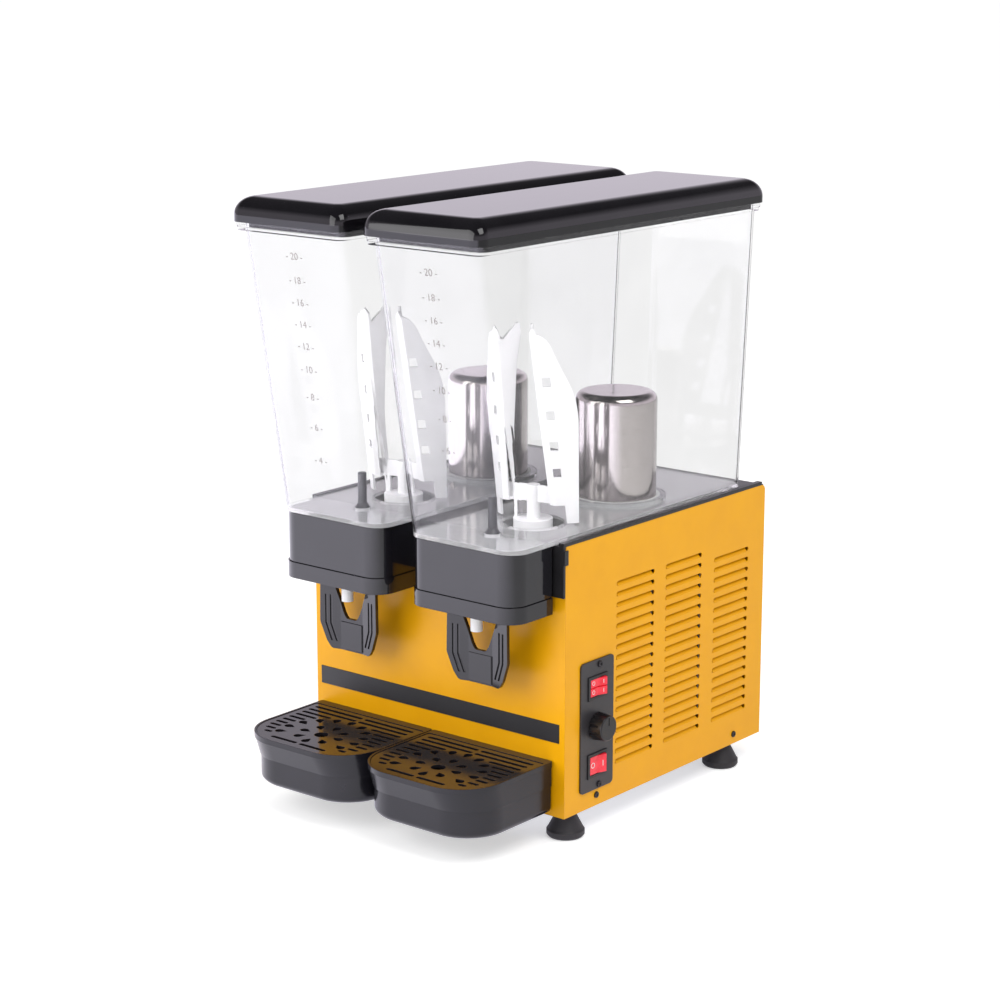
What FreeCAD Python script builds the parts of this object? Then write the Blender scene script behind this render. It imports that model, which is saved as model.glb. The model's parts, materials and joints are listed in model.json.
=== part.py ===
import FreeCAD, Part
import math
import os

# A twin-tank ayran dispenser: a cold-drink machine with two clear tanks over a yellow
# refrigerated cabinet. Each tank has a stirring paddle, a steel cold dome, a push-lever tap
# and its own drip tray. All sizes are millimetres. While the pieces are modelled, X runs to
# the right seen from the front, Y runs to the back with 0 at the cabinet's front face, and Z
# runs up from the ground under the feet. save() then moves each piece so that the origin is
# the middle of the footprint.

V = FreeCAD.Vector
UP = V(0, 0, 1)

# Sheets, gaps and fits
sheet = 1.2
seat_gap = 0.2
free_gap = 0.5
running_fit = 0.06
screw_gap = 0.2

# Feet
foot_height = 29.0
foot_base_radius = 21.0
foot_neck_radius = 10.0
foot_stud_radius = 4.0
foot_stud_length = 24.0
foot_x = 162.0
front_foot_y = 26.0
rear_foot_inset = 55.0
foot_boss_radius = 8.0
foot_boss_height = 14.0

# Cabinet
cabinet_width = 360.0
cabinet_depth = 378.0
cabinet_height = 302.0
pan_flange = 18.0
rear_corner_radius = 7.0

# Louvres in the side panels: where each column starts, and how many rows it has
louvre_length = 70.0
louvre_height = 5.6
louvre_pitch = 11.9
louvre_blade = 0.8
louvre_reach = 4.5
louvre_bottom = 40.6
louvre_column_starts = [90.5, 181.5, 276.0]
louvre_row_counts = [18, 18, 17]

# Rear grille
rear_slot_length = 64.0
rear_slot_height = 5.0
rear_slot_pitch = 13.0
rear_slot_rows = 9
rear_slot_columns = 3
rear_column_pitch = 84.0
rear_slot_bottom = 130.0

# Deck on top of the cabinet, with its front flange and side rims
deck_thickness = 3.0
deck_rim_height = 3.8
deck_rim_width = 6.5
deck_flange_drop = 56.0
deck_flange_thickness = 3.0
deck_tab_reach = 1.6
deck_tab_height = 16.0

# Bare black band across the front
strip_width = 345.6
strip_height = 21.0
strip_bottom = 84.0
strip_thickness = 0.8

# Control plate on the right side panel
plate_front = 26.0
plate_rear = 84.0
plate_bottom = 20.0
plate_height = 147.0
plate_thickness = 2.0
plate_corner = 5.0
control_y = 57.0
main_switch_height = 48.5
mixer_switch_height = 136.5
knob_height = 92.0
knob_y = 55.0
knob_radius = 15.5
knob_length = 15.5
spindle_radius = 3.0
rocker_half_length = 13.2
main_rocker_height = 20.0
mixer_rocker_height = 8.8
mixer_rocker_pitch = 10.2
rocker_tilt = 10.0
rocker_middle = 3.5
rocker_end = 6.0
rocker_back = 2.0
switch_wall = 3.2
switch_depth = 24.0
switch_lip = 1.4

# Screws
screw_head_radius = 3.7
screw_head_height = 1.9
screw_radius = 1.9
screw_length = 8.0

# Tanks
tank_pitch = 186.0
tank_width = 150.0
tank_wall = 3.0
tank_floor = 4.0
tank_floor_front = -70.0
tank_floor_rear_inset = 23.0
tank_height = 326.0
tank_top_front = -120.0
tank_top_rear_inset = 9.0
tank_floor_corner = 22.0
tank_top_corner = 13.0
rim_height = 9.0
rim_step = 4.0
rim_width = 155.0
rim_front = -129.5
rim_rear_inset = 2.5
rim_corner = 11.0
rim_bead = 1.5
dome_collar_height = 4.0
dome_collar_wall = 7.0
well_radius = 34.0
well_wall = 3.0
well_depth = 20.0
well_gap = 1.0

# Lids
lid_height = 27.0
lid_wall = 2.5
lid_round = 20.0
lid_overhang = 2.5
lid_plug_depth = 7.0
lid_plug_gap = 1.0
lid_sections = 10

# Cold domes
dome_radius = 46.0
dome_wall = 1.0
dome_height = 122.0
dome_round = 10.0
dome_y = 203.0
dome_flange = 8.0
dome_fit_gap = 0.3
gasket_width = 4.0
jacket_wall = 7.0
jacket_gap = 0.4
jacket_lift = 2.0

# Stirring paddles
paddle_y = 54.5
paddle_angle = 9.5
shaft_radius = 5.0
shaft_rise = 18.0
shaft_square_half = 3.6
shaft_square_length = 11.0
socket_gap = 0.15
spigot_wall = 3.0
spigot_height = 13.0
seal_width = 3.0
seal_height = 6.0
hub_radius = 7.2
hub_skirt_radius = 21.0
hub_skirt_rise = 2.0
hub_skirt_wall = 3.0
hub_disc_radius = 31.0
hub_disc_thickness = 3.0
paddle_floor_gap = 2.0
crossbar_bottom = 20.5
crossbar_height = 18.5
crossbar_half_length = 41.0
paddle_plate = 3.0
wing_lean_u = -0.034
wing_lean_v = -0.183
bend_outer_u = 32.4
bend_outer_v = -4.5
bend_inner_u = 25.7
bend_inner_v = -3.2
panel_angle = 41.3
panel_foot_width = 23.1
panel_wide_width = 35.3
panel_wide_height = 112.0
panel_height = 211.0
leg_width = 12.8
tip_height = 217.0
tip_shoulder_drop = 5.0
fin_u = 20.5
fin_v = -1.5
fin_foot_width = 3.1
fin_height = 218.0
notch_height = 201.0
slit_height = 104.0
# Rear edges of a wing's two leaves, as (width from the fold, height over the hub's foot)
panel_rear_edge = [(35.6, 129), (33.5, 145), (25.8, 167), (17.7, 189), (11.8, 203), (6.1, 208.5)]
fin_rear_edge = [(25.0, 217.8), (27.0, 212), (22.9, 189.5), (18.2, 166), (13.4, 127),
                 (10.5, 103), (9.5, 66)]
fin_notch_width = 2.7
fin_top_width = 22.0
wing_slot_heights = [57.4, 87.4, 121.7, 158.5]
wing_slot_width = 9.0
wing_slot_height = 10.0
wing_slot_centre = 5.6
rib_width = 4.0

# Gearmotors on their shelf
shelf_drop = 32.0
shelf_front = 18.0
shelf_rear = 98.0
shelf_thickness = 2.0
shelf_lip = 14.0
gearbox_width = 74.0
gearbox_depth = 60.0
gearbox_height = 40.0
motor_radius = 27.0
motor_height = 46.0
nose_radius = 10.0
nose_rise = 4.0
bush_wall = 4.0
bush_height = 9.0

# Taps: plunger, spout, lever and the cover round them
cover_width = 146.0
cover_front = -70.0
cover_rear = -4.2
cover_wall = 2.5
cover_corner = 22.0
cover_height = 56.0
band_height = 18.0
band_proud = 1.5
band_seam = 0.4
plunger_y = -15.0
plunger_radius = 4.5
plunger_rise = 40.0
plunger_seal_radius = 8.5
plunger_seal_height = 5.0
plunger_collar_radius = 7.0
plunger_collar_height = 3.5
boss_radius = 11.5
boss_wall = 2.3
boss_drop = 18.0
chamber_radius = 6.5
chamber_wall = 2.0
chamber_drop = 46.0
chamber_floor = 6.0
groove_depth = 1.2
groove_play = 0.2
ring_half_height = 1.2
outlet_radius = 6.0
spout_y = -41.5
spout_radius = 6.6
spout_bore = 4.4
spout_bottom = 233.5
channel_drop = 34.0
channel_height = 20.0
channel_width = 15.0
pivot_y = -31.0
pivot_drop = 57.0
pivot_radius = 3.0
pivot_lug_radius = 6.5
pivot_half_span = 34.0
spring_wall = 1.2
lever_panel_y = -35.5
lever_panel_half_width = 16.5
lever_dish = 6.3
lever_thickness = 4.5
lever_panel_proud = 1.0
lever_top_half_width = 41.0
lever_wide_half_width = 42.0
lever_wide_height = 203.0
lever_low_half_width = 34.0
lever_low_height = 182.0
lever_bottom = 173.0
lever_corner = 6.0
lever_top = 262.0
vee_top_half_width = 29.5
vee_bottom_half_width = 7.5
vee_bottom = 210.0
vee_knee_half_width = 12.0
vee_knee_height = 217.0
vee_round = 5.0
ear_inner = 27.0
ear_thickness = 8.0
ear_radius = 7.5
fork_height = 4.0
fork_gap = 0.4
fork_width = 5.0
fork_pivot_gap = 5.5
fork_reach = 4.0
lever_groove_depth = 1.6
lever_groove_width = 2.6
lever_groove_offsets = [6.5, 12.5]
plunger_stroke = 5.3
spring_shut_length = 6.7

# Drip trays
tray_width = 168.0
tray_pitch = 170.0
tray_shift = -3.5
tray_front = -143.0
tray_back = -1.0
tray_tub_back = -10.0
tray_top = 92.0
tray_bottom = 32.5
tray_step = 64.0
tray_corner = 52.0
tray_wall = 2.5
tray_lip_height = 6.0
tray_front_slope = 10.0
tray_side_slope = 0.4
tray_step_depth = 1.0
tray_edge_round = 8.0
tray_ledge = 3.0
tray_rear_corner = 3.0
tray_lip_side_step = 0.6
tray_lip_front_step = 0.8
tray_hollow_slope = 2.0
grille_thickness = 4.0
grille_gap = 0.6
grille_recess = 0.6
grille_slot = 5.0
grille_pitch = 10.7
grille_border = 7.0
grille_web = 4.0
rose_y = -92.0
rose_radius = 57.0
rose_centre_radius = 8.0
rose_drop_radius = 4.8
rose_drop_length = 14.0
rose_ring_radii = [26.0, 50.0]
rose_ring_counts = [8, 16]
rose_front = -127.0
hook_lip_thickness = 2.5
hook_lip_drop = 12.0
hook_side_gap = 4.0
rim_block_height = 10.0
bracket_thickness = 1.5
bracket_reach = 7.5
bracket_height = 26.0
bracket_width = 120.0

# Cold unit
compressor_x = -88.0
compressor_rear_gap = 143.0
compressor_radius = 66.0
compressor_height = 150.0
compressor_wall = 9.0
compressor_plate_width = 176.0
compressor_plate_depth = 150.0
compressor_plate_thickness = 3.0
grommet_radius = 11.0
grommet_height = 13.0
grommet_inset = 14.0
condenser_x = 122.0
condenser_thickness = 40.0
condenser_front = 112.0
condenser_rear_gap = 66.0
condenser_bottom = 16.0
condenser_height = 206.0
fin_count = 16
fin_thickness = 1.0
condenser_tube_radius = 4.5
condenser_tube_rows = 5
fan_height = 120.0
fan_radius = 78.0
fan_tip_gap = 4.0
fan_ring_wall = 3.0
shroud_depth = 22.0
shroud_wall = 2.0
fan_hub_radius = 17.0
fan_blade_count = 5
fan_motor_radius = 24.0
fan_motor_length = 40.0
fan_motor_gap = 4.0
fan_arm_width = 12.0
fan_arm_thickness = 3.0
fan_shaft_radius = 3.0
pipe_radius = 3.2
pipe_bend = 8.0
drier_radius = 11.0
drier_length = 70.0
pipe_level = 288.0
inlet_x = 118.0
inlet_height = 42.0
inlet_width = 52.0
inlet_tall = 26.0
inlet_proud = 2.0

# A length that reaches past the whole object, for cutters that go right through
beyond = 2000.0

# Sizes worked out from those above
half_width = cabinet_width / 2
rear_foot_y = cabinet_depth - rear_foot_inset
tank_floor_rear = cabinet_depth - tank_floor_rear_inset
tank_top_rear = cabinet_depth - tank_top_rear_inset
rim_rear = cabinet_depth - rim_rear_inset
compressor_y = cabinet_depth - compressor_rear_gap
condenser_rear = cabinet_depth - condenser_rear_gap
base_z = foot_height
top_z = foot_height + cabinet_height
deck_top = top_z + seat_gap
deck_bottom = deck_top - deck_thickness
tank_bottom = deck_top + seat_gap
floor_z = tank_bottom + tank_floor
cup_top = deck_top - well_depth
well_floor = floor_z - well_depth
tank_top = tank_bottom + tank_height
lid_bottom = tank_top + seat_gap
knob_face = half_width + plate_thickness + free_gap + knob_length
left_most = foot_x + foot_base_radius
rear_most = cabinet_depth + inlet_proud
origin = V((knob_face - left_most) / 2, (tray_front + rear_most) / 2, 0)
sides = {"left": -1, "right": 1}


def box(x0, x1, y0, y1, z0, z1):
    return Part.makeBox(x1 - x0, y1 - y0, z1 - z0, V(x0, y0, z0))


def post(x, y, z0, z1, radius):
    return Part.makeCylinder(radius, z1 - z0, V(x, y, z0), UP)


def rod(start, end, radius):
    run = end - start
    return Part.makeCylinder(radius, run.Length, start, run)


def tube(x, y, z0, z1, outer, inner):
    return post(x, y, z0, z1, outer).cut(post(x, y, z0 - 1, z1 + 1, inner))


def join(shapes):
    shapes = list(shapes)
    return shapes[0].multiFuse(shapes[1:]).removeSplitter()


def carve(shape, cutters):
    return shape.cut(Part.makeCompound(list(cutters)))


def outline(x0, x1, y0, y1, z, front, rear):
    """Closed rounded rectangle at height z; front and rear are the corner radii."""
    turn = math.sqrt(0.5)

    def corner(cx, cy, radius, sx, sy, first):
        a = V(cx + sx * radius, cy, z)
        b = V(cx, cy + sy * radius, z)
        middle = V(cx + sx * radius * turn, cy + sy * radius * turn, z)
        ends = (a, b) if first == "x" else (b, a)
        return Part.Arc(ends[0], middle, ends[1]).toShape()

    def line(xa, ya, xb, yb):
        return Part.LineSegment(V(xa, ya, z), V(xb, yb, z)).toShape()

    edges = [
        line(x0 + front, y0, x1 - front, y0),
        corner(x1 - front, y0 + front, front, 1, -1, "y"),
        line(x1, y0 + front, x1, y1 - rear),
        corner(x1 - rear, y1 - rear, rear, 1, 1, "x"),
        line(x1 - rear, y1, x0 + rear, y1),
        corner(x0 + rear, y1 - rear, rear, -1, 1, "y"),
        line(x0, y1 - rear, x0, y0 + front),
        corner(x0 + front, y0 + front, front, -1, -1, "x"),
    ]
    return Part.Wire(edges)


def slab(wire, height):
    return Part.Face(wire).extrude(V(0, 0, height))


def loft(wires, straight=True):
    return Part.makeLoft(wires, True, straight)


def prism(points, along):
    """Straight-sided solid: a closed outline of points pushed along a vector."""
    wire = Part.makePolygon(points + [points[0]])
    return Part.Face(wire).extrude(along)


def slot_along_y(x0, x1, y0, length, z, height):
    """Oblong cutter through a side panel, rounded at both ends."""
    r = height / 2
    middle = box(x0, x1, y0 + r, y0 + length - r, z - r, z + r)
    ends = [rod(V(x0, y, z), V(x1, y, z), r) for y in (y0 + r, y0 + length - r)]
    return join([middle] + ends)


def slot_along_x(x0, x1, y, z0, z1, width):
    """Oblong cutter through a level plate, rounded at both ends."""
    r = width / 2
    middle = box(x0 + r, x1 - r, y - r, y + r, z0, z1)
    ends = [post(x, y, z0, z1, r) for x in (x0 + r, x1 - r)]
    return join([middle] + ends)


def save(node, *shapes):
    """Write one sub-part: a single solid, or a group of separate identical ones."""
    solids = [s for shape in shapes for s in shape.Solids]
    whole = solids[0] if len(solids) == 1 else Part.makeCompound(solids)
    whole = whole.copy()
    whole.translate(origin.negative())
    assert whole.isValid(), node
    whole.exportStep("parts/" + node + ".step")
    print(node, len(solids), round(whole.Volume / 1000, 2), "cm3")


def feet_sites():
    return [
        ("front_left", -foot_x, front_foot_y),
        ("front_right", foot_x, front_foot_y),
        ("rear_left", -foot_x, rear_foot_y),
        ("rear_right", foot_x, rear_foot_y),
    ]


# Screws are listed once here; the panels take their holes from the same list.
side_screw_sites = [(56.6, base_z + 12.4), (322.5, base_z + 11.8)]
plate_screw_sites = [
    (control_y + 2, base_z + plate_bottom + plate_height - 6),
    (control_y + 2, base_z + plate_bottom + 4.5),
]
rear_screw_x = half_width - 12
rear_screw_sites = [
    (-rear_screw_x, base_z + 11),
    (rear_screw_x, base_z + 11),
    (-rear_screw_x, top_z - 16),
    (rear_screw_x, top_z - 16),
]


def screw_shapes(seat, outward):
    """Pan-head screw with a cross recess: seat is the point under its head."""
    head = Part.makeCylinder(screw_head_radius, screw_head_height, seat, outward)
    rim = [e for e in head.Edges if e.Closed and abs((e.CenterOfMass - seat).dot(outward)) > 1]
    head = head.makeFillet(screw_head_height * 0.55, rim)
    shank = Part.makeCylinder(screw_radius, screw_length, seat, outward.negative())
    face = seat + outward * screw_head_height
    bars = []
    for angle in (45, 135):
        bar = Part.makeBox(screw_head_radius * 1.1, 0.9, 2.0)
        bar.translate(V(-screw_head_radius * 0.55, -0.45, -0.9))
        bar.rotate(V(0, 0, 0), UP, angle)
        bar.Placement = FreeCAD.Placement(face, FreeCAD.Rotation(UP, outward)) * bar.Placement
        bars.append(bar)
    return carve(join([head, shank]), bars)


def screw_hole(seat, outward):
    reach = screw_length + 1
    return Part.makeCylinder(screw_radius + screw_gap, reach + 3, seat - outward * reach, outward)


def all_screws():
    sites = []
    for y, z in side_screw_sites:
        sites.append((V(half_width, y, z), V(1, 0, 0)))
        sites.append((V(-half_width, y, z), V(-1, 0, 0)))
    for y, z in plate_screw_sites:
        sites.append((V(half_width + plate_thickness, y, z), V(1, 0, 0)))
    for x, z in rear_screw_sites:
        sites.append((V(x, cabinet_depth, z), V(0, 1, 0)))
    return sites


def screw_cuts():
    return [screw_hole(seat, outward) for seat, outward in all_screws()]


def base_pan():
    x = half_width - sheet - 0.1
    y0 = sheet + 0.1
    y1 = cabinet_depth - sheet - 0.1
    pan = box(-x, x, y0, y1, base_z, base_z + pan_flange)
    pan = pan.cut(box(-x + sheet, x - sheet, y0 + sheet, y1 - sheet, base_z + sheet, beyond))
    bosses = [
        post(fx, fy, base_z + sheet / 2, base_z + foot_boss_height, foot_boss_radius)
        for _, fx, fy in feet_sites()
    ]
    holes = [
        post(fx, fy, 0, beyond, foot_stud_radius + running_fit) for _, fx, fy in feet_sites()
    ]
    return carve(join([pan] + bosses), holes + screw_cuts())


def foot(x, y):
    """Moulded bell foot with its threaded stud; the thread is a plain cylinder."""
    top = foot_height - seat_gap
    half = [
        V(0, 0, 0),
        V(foot_base_radius - 2, 0, 0),
        V(foot_base_radius, 0, 2.5),
        V(foot_base_radius, 0, 7.5),
        V(foot_base_radius - 1.5, 0, 9.5),
        V(foot_neck_radius + 1, 0, top - 3),
        V(foot_neck_radius, 0, top),
        V(foot_stud_radius, 0, top),
        V(foot_stud_radius, 0, top + foot_stud_length),
        V(0, 0, top + foot_stud_length),
    ]
    bell = Part.Face(Part.makePolygon(half + [half[0]])).revolve(V(0, 0, 0), UP, 360)
    bell.translate(V(x, y, 0))
    return bell


def front_panel():
    return box(-half_width, half_width, 0, sheet, base_z, deck_bottom - 0.1)


def louvre_rows():
    """Y start and height of each slot in a side panel."""
    for start, count in zip(louvre_column_starts, louvre_row_counts):
        for row in range(count):
            yield start, base_z + louvre_bottom + row * louvre_pitch


def side_panel(side):
    """Painted side sheet: slots with pressed blades behind them, round rear top corner."""
    outer = side * half_width
    inner = side * (half_width - sheet)
    low, high = min(outer, inner), max(outer, inner)
    panel = box(low, high, sheet, cabinet_depth, base_z, top_z)
    corner = [
        e
        for e in panel.Edges
        if abs(e.CenterOfMass.y - cabinet_depth) < 0.01
        and abs(e.CenterOfMass.z - top_z) < 0.01
    ]
    panel = panel.makeFillet(rear_corner_radius, corner)
    r = louvre_height / 2
    slots = [
        slot_along_y(low - 1, high + 1, start, louvre_length, z, louvre_height)
        for start, z in louvre_rows()
    ]
    cuts = slots + screw_cuts()
    if side > 0:
        cuts.append(
            box(
                low - 1,
                high + 1,
                plate_front + 9,
                plate_rear - 6,
                base_z + plate_bottom + 11,
                base_z + plate_bottom + plate_height - 12,
            )
        )
    panel = carve(panel, cuts)
    blades = []
    for start, z in louvre_rows():
        y0 = start + r
        run = V(0, louvre_length - louvre_height, 0)
        low_z = z - r
        blades.append(
            prism(
                [
                    V(outer - side * 0.2, y0, low_z - 0.3),
                    V(outer - side * 0.2, y0, low_z + 0.3),
                    V(inner - side * louvre_reach, y0, z + r + 0.4),
                    V(inner - side * (louvre_reach + louvre_blade), y0, z + r - 0.3),
                    V(inner - side * 0.1, y0, low_z - 0.6),
                ],
                run,
            )
        )
    return panel.multiFuse(blades)


def rear_panel():
    x = half_width - sheet - 0.1
    panel = box(-x, x, cabinet_depth - sheet, cabinet_depth, base_z, deck_bottom - 0.1)
    cuts = screw_cuts()
    for column in range(rear_slot_columns):
        middle = (column - (rear_slot_columns - 1) / 2) * rear_column_pitch
        for row in range(rear_slot_rows):
            z = base_z + rear_slot_bottom + row * rear_slot_pitch
            half = rear_slot_length / 2
            cuts.append(
                box(
                    middle - half,
                    middle + half,
                    cabinet_depth - sheet - 1,
                    cabinet_depth + 1,
                    z,
                    z + rear_slot_height,
                )
            )
    cuts.append(inlet_body(0.2))
    return carve(panel, cuts)


def inlet_body(gap):
    half = inlet_width / 2 - 6 + gap
    z0 = base_z + inlet_height
    return box(
        inlet_x - half,
        inlet_x + half,
        cabinet_depth - 30,
        cabinet_depth + 0.1,
        z0 + 3 - gap,
        z0 + inlet_tall - 3 + gap,
    )


def power_inlet():
    """Mains inlet for a separate lead: flange outside, body inside, three pins in a well."""
    z0 = base_z + inlet_height
    y1 = cabinet_depth + inlet_proud
    flange = box(
        inlet_x - inlet_width / 2,
        inlet_x + inlet_width / 2,
        cabinet_depth,
        y1,
        z0,
        z0 + inlet_tall,
    )
    body = join([flange, inlet_body(0)])
    well = box(inlet_x - 12.5, inlet_x + 12.5, y1 - 17, y1 + 1, z0 + 5, z0 + inlet_tall - 5)
    body = body.cut(well)
    pins = [
        box(inlet_x + dx - 1, inlet_x + dx + 1, y1 - 18, y1 - 2, z0 + dz, z0 + dz + 4)
        for dx, dz in ((-7, 8), (7, 8), (0, 14))
    ]
    return join([body] + pins)


def deck_holes():
    holes = []
    for side in sides.values():
        x = side * tank_pitch / 2
        holes.append(post(x, dome_y, 0, beyond, dome_radius + seat_gap))
        holes.append(post(x, paddle_y, cup_top, beyond, well_radius + well_wall + well_gap))
        holes.append(post(x, paddle_y, 0, beyond, shaft_radius + bush_wall + 0.1))
    return holes


def top_deck():
    """Black moulded deck: plate, two cups, front flange, side rims and small side tabs."""
    inside = half_width - sheet - 0.1
    plate = box(-inside, inside, 0, cabinet_depth - 2, deck_bottom, deck_top)
    front = -seat_gap - deck_flange_thickness
    flange = box(-half_width, half_width, front, -seat_gap, deck_top - deck_flange_drop, deck_top)
    bridge = box(-half_width, half_width, front, sheet, deck_bottom, deck_top)
    bridge = bridge.cut(box(-beyond, beyond, 0, 9, 0, top_z + 0.1))
    parts = [plate, flange, bridge]
    cup_radius = well_radius + well_wall + well_gap + deck_thickness
    for side in sides.values():
        x = side * tank_pitch / 2
        parts.append(post(x, paddle_y, cup_top - deck_thickness, deck_top, cup_radius))
    rim_top = deck_top + deck_rim_height
    for side in sides.values():
        edge = side * (half_width + 0.2)
        step = side * inside
        root = side * (half_width - deck_rim_width)
        rear = cabinet_depth - rear_corner_radius
        parts.append(
            box(min(step, root), max(step, root), front, rear, deck_bottom, rim_top)
        )
        parts.append(
            box(min(edge, root), max(edge, root), front, rear, top_z + 0.1, rim_top)
        )
        tab = side * (half_width + deck_tab_reach)
        wall = side * (half_width + 0.1)
        low = top_z - deck_tab_height - 4
        parts.append(box(min(tab, wall), max(tab, wall), front, 3, low, low + deck_tab_height))
        parts.append(
            box(min(tab, root), max(tab, root), front, -seat_gap, low, low + deck_tab_height)
        )
    return carve(join(parts), deck_holes())


def front_strip():
    z = base_z + strip_bottom
    half = strip_width / 2
    return box(-half, half, -strip_thickness, 0, z, z + strip_height)


def rocker_centres():
    """Name, Y, Z and height of each rocker."""
    mid = base_z + mixer_switch_height
    half = mixer_rocker_pitch / 2
    return [
        ("main_rocker", control_y - 2, base_z + main_switch_height, main_rocker_height),
        ("mixer_rocker_upper", control_y - 2, mid + half, mixer_rocker_height),
        ("mixer_rocker_lower", control_y - 2, mid - half, mixer_rocker_height),
    ]


rocker_pivot_x = half_width - 0.5


def rocker(y, z, height):
    """Rocker with a hollowed top, tilted to its resting side about an upright pivot."""
    bottom = z - height / 2
    drum = post(rocker_pivot_x, y, bottom, bottom + height, rocker_half_length)
    far = rocker_half_length + 1
    keep = prism(
        [
            V(rocker_pivot_x - rocker_back, y - far, bottom - 1),
            V(rocker_pivot_x + rocker_end, y - far, bottom - 1),
            V(rocker_pivot_x + rocker_middle, y, bottom - 1),
            V(rocker_pivot_x + rocker_end, y + far, bottom - 1),
            V(rocker_pivot_x - rocker_back, y + far, bottom - 1),
        ],
        V(0, 0, height + 2),
    )
    body = drum.common(keep)
    body.rotate(V(rocker_pivot_x, y, z), UP, -rocker_tilt)
    return body


def switch_frame(y, z, height):
    """Snap-in switch case with a raised lip and a well for its rocker or rockers."""
    half_y = rocker_half_length + 0.6
    half_z = height / 2 + 0.5
    face = half_width + plate_thickness
    back = half_width - switch_depth
    case = box(
        back,
        face,
        y - half_y - 1.6,
        y + half_y + 1.6,
        z - half_z - 1.6,
        z + half_z + 1.6,
    )
    lip = box(
        face,
        face + switch_lip,
        y - half_y - switch_wall,
        y + half_y + switch_wall,
        z - half_z - switch_wall,
        z + half_z + switch_wall,
    )
    well = box(
        rocker_pivot_x - rocker_back - 5,
        face + 9,
        y - half_y,
        y + half_y,
        z - half_z,
        z + half_z,
    )
    terminals = [
        box(back - 9, back + 1, y + dy - 3, y + dy + 3, z - 0.5, z + 0.5) for dy in (-8, 8)
    ]
    return join([case, lip] + terminals).cut(well)


def switch_frames():
    main = rocker_centres()[0]
    pair_height = mixer_rocker_pitch + mixer_rocker_height
    return [
        switch_frame(main[1], main[2], main[3]),
        switch_frame(main[1], base_z + mixer_switch_height, pair_height),
    ]


def control_plate():
    x0 = half_width
    z0 = base_z + plate_bottom
    plate = box(x0, x0 + plate_thickness, plate_front, plate_rear, z0, z0 + plate_height)
    corners = [e for e in plate.Edges if abs(e.CenterOfMass.x - x0 - plate_thickness / 2) < 0.01]
    plate = plate.makeFillet(plate_corner, corners)
    knob_z = base_z + knob_height
    cuts = [rod(V(x0 - 1, knob_y, knob_z), V(x0 + 9, knob_y, knob_z), spindle_radius + free_gap)]
    for _, y, z, height in rocker_centres():
        half_y = rocker_half_length + 2.4
        half_z = height / 2 + 2.3
        cuts.append(box(x0 - 1, x0 + 9, y - half_y, y + half_y, z - half_z, z + half_z))
    return carve(plate, cuts + screw_cuts())


def thermostat_body():
    z = base_z + knob_height
    body = box(half_width - 34, half_width - 0.3, knob_y - 17, knob_y + 17, z - 13, z + 13)
    nose = rod(V(half_width - 34, knob_y, z), V(half_width - 46, knob_y, z), 8)
    bore = rod(V(half_width - 26, knob_y, z), V(half_width + 9, knob_y, z),
               spindle_radius + running_fit)
    return join([body, nose]).cut(bore)


def thermostat_knob():
    """Turned knob with finger flutes, a pointer rib and its spindle."""
    z = base_z + knob_height
    start = half_width + plate_thickness + free_gap
    axis = V(1, 0, 0)
    body = Part.makeCone(knob_radius, knob_radius - 1.5, knob_length, V(start, knob_y, z), axis)
    face = [e for e in body.Edges if e.Closed and abs(e.CenterOfMass.x - knob_face) < 0.01]
    body = body.makeFillet(1.6, face)
    flutes = []
    for k in range(10):
        a = math.radians(36 * k + 18)
        reach = knob_radius + 0.6
        centre = V(start - 1, knob_y + reach * math.cos(a), z + reach * math.sin(a))
        flutes.append(Part.makeCylinder(2.0, knob_length * 0.75, centre, axis))
    body = carve(body, flutes)
    mark = box(knob_face - 1.2, knob_face + 1, knob_y - 0.8, knob_y + 0.8, z + 3, z + 12)
    body = body.cut(mark)
    spindle = rod(V(half_width - 24, knob_y, z), V(start + 2, knob_y, z), spindle_radius)
    return join([body, spindle])


def tank_outline(z, inset):
    """Tank wall's outline at height z; the front and the back lean outwards."""
    rise = (z - tank_bottom) / (tank_top - rim_height - tank_bottom)
    front = tank_floor_front + rise * (tank_top_front - tank_floor_front) + inset
    rear = tank_floor_rear + rise * (tank_top_rear - tank_floor_rear) - inset
    half = tank_width / 2 - inset
    corner = tank_floor_corner + rise * (tank_top_corner - tank_floor_corner) - inset
    return outline(-half, half, front, rear, z, corner, corner)


def rim_outline(z, grow, corner):
    half = rim_width / 2 + grow
    return outline(-half, half, rim_front - grow, rim_rear + grow, z, corner, corner)


def tank():
    """Clear moulded tank: stepped rim, dome collar, paddle well, spigot and outlet boss."""
    shell = loft([tank_outline(tank_bottom, 0), tank_outline(tank_top - rim_height + 1, 0)])
    low_rim = slab(
        rim_outline(tank_top - rim_height, -rim_bead, rim_corner - rim_bead), rim_step
    )
    high_rim = slab(
        rim_outline(tank_top - rim_height + rim_step - 0.1, 0, rim_corner),
        rim_height - rim_step + 0.1,
    )
    hollow = loft([tank_outline(floor_z, tank_wall), tank_outline(tank_top + 5, tank_wall)])
    body = join([shell, low_rim, high_rim]).cut(hollow)
    hole = dome_radius + gasket_width
    collar = post(0, dome_y, tank_bottom, floor_z + dome_collar_height, hole + dome_collar_wall)
    bore = shaft_radius + seal_width
    well = post(0, paddle_y, tank_bottom - well_depth, floor_z, well_radius + well_wall)
    body = body.fuse(well).cut(post(0, paddle_y, well_floor, floor_z + 1, well_radius))
    spigot = post(0, paddle_y, well_floor - 1, well_floor + spigot_height, bore + spigot_wall)
    boss = post(0, plunger_y, tank_bottom - boss_drop, floor_z, boss_radius)
    body = join([body, collar, spigot, boss])
    return carve(
        body,
        [
            post(0, dome_y, 0, beyond, hole),
            post(0, paddle_y, 0, beyond, bore),
            post(0, plunger_y, 0, beyond, boss_radius - boss_wall),
        ],
    )


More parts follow.
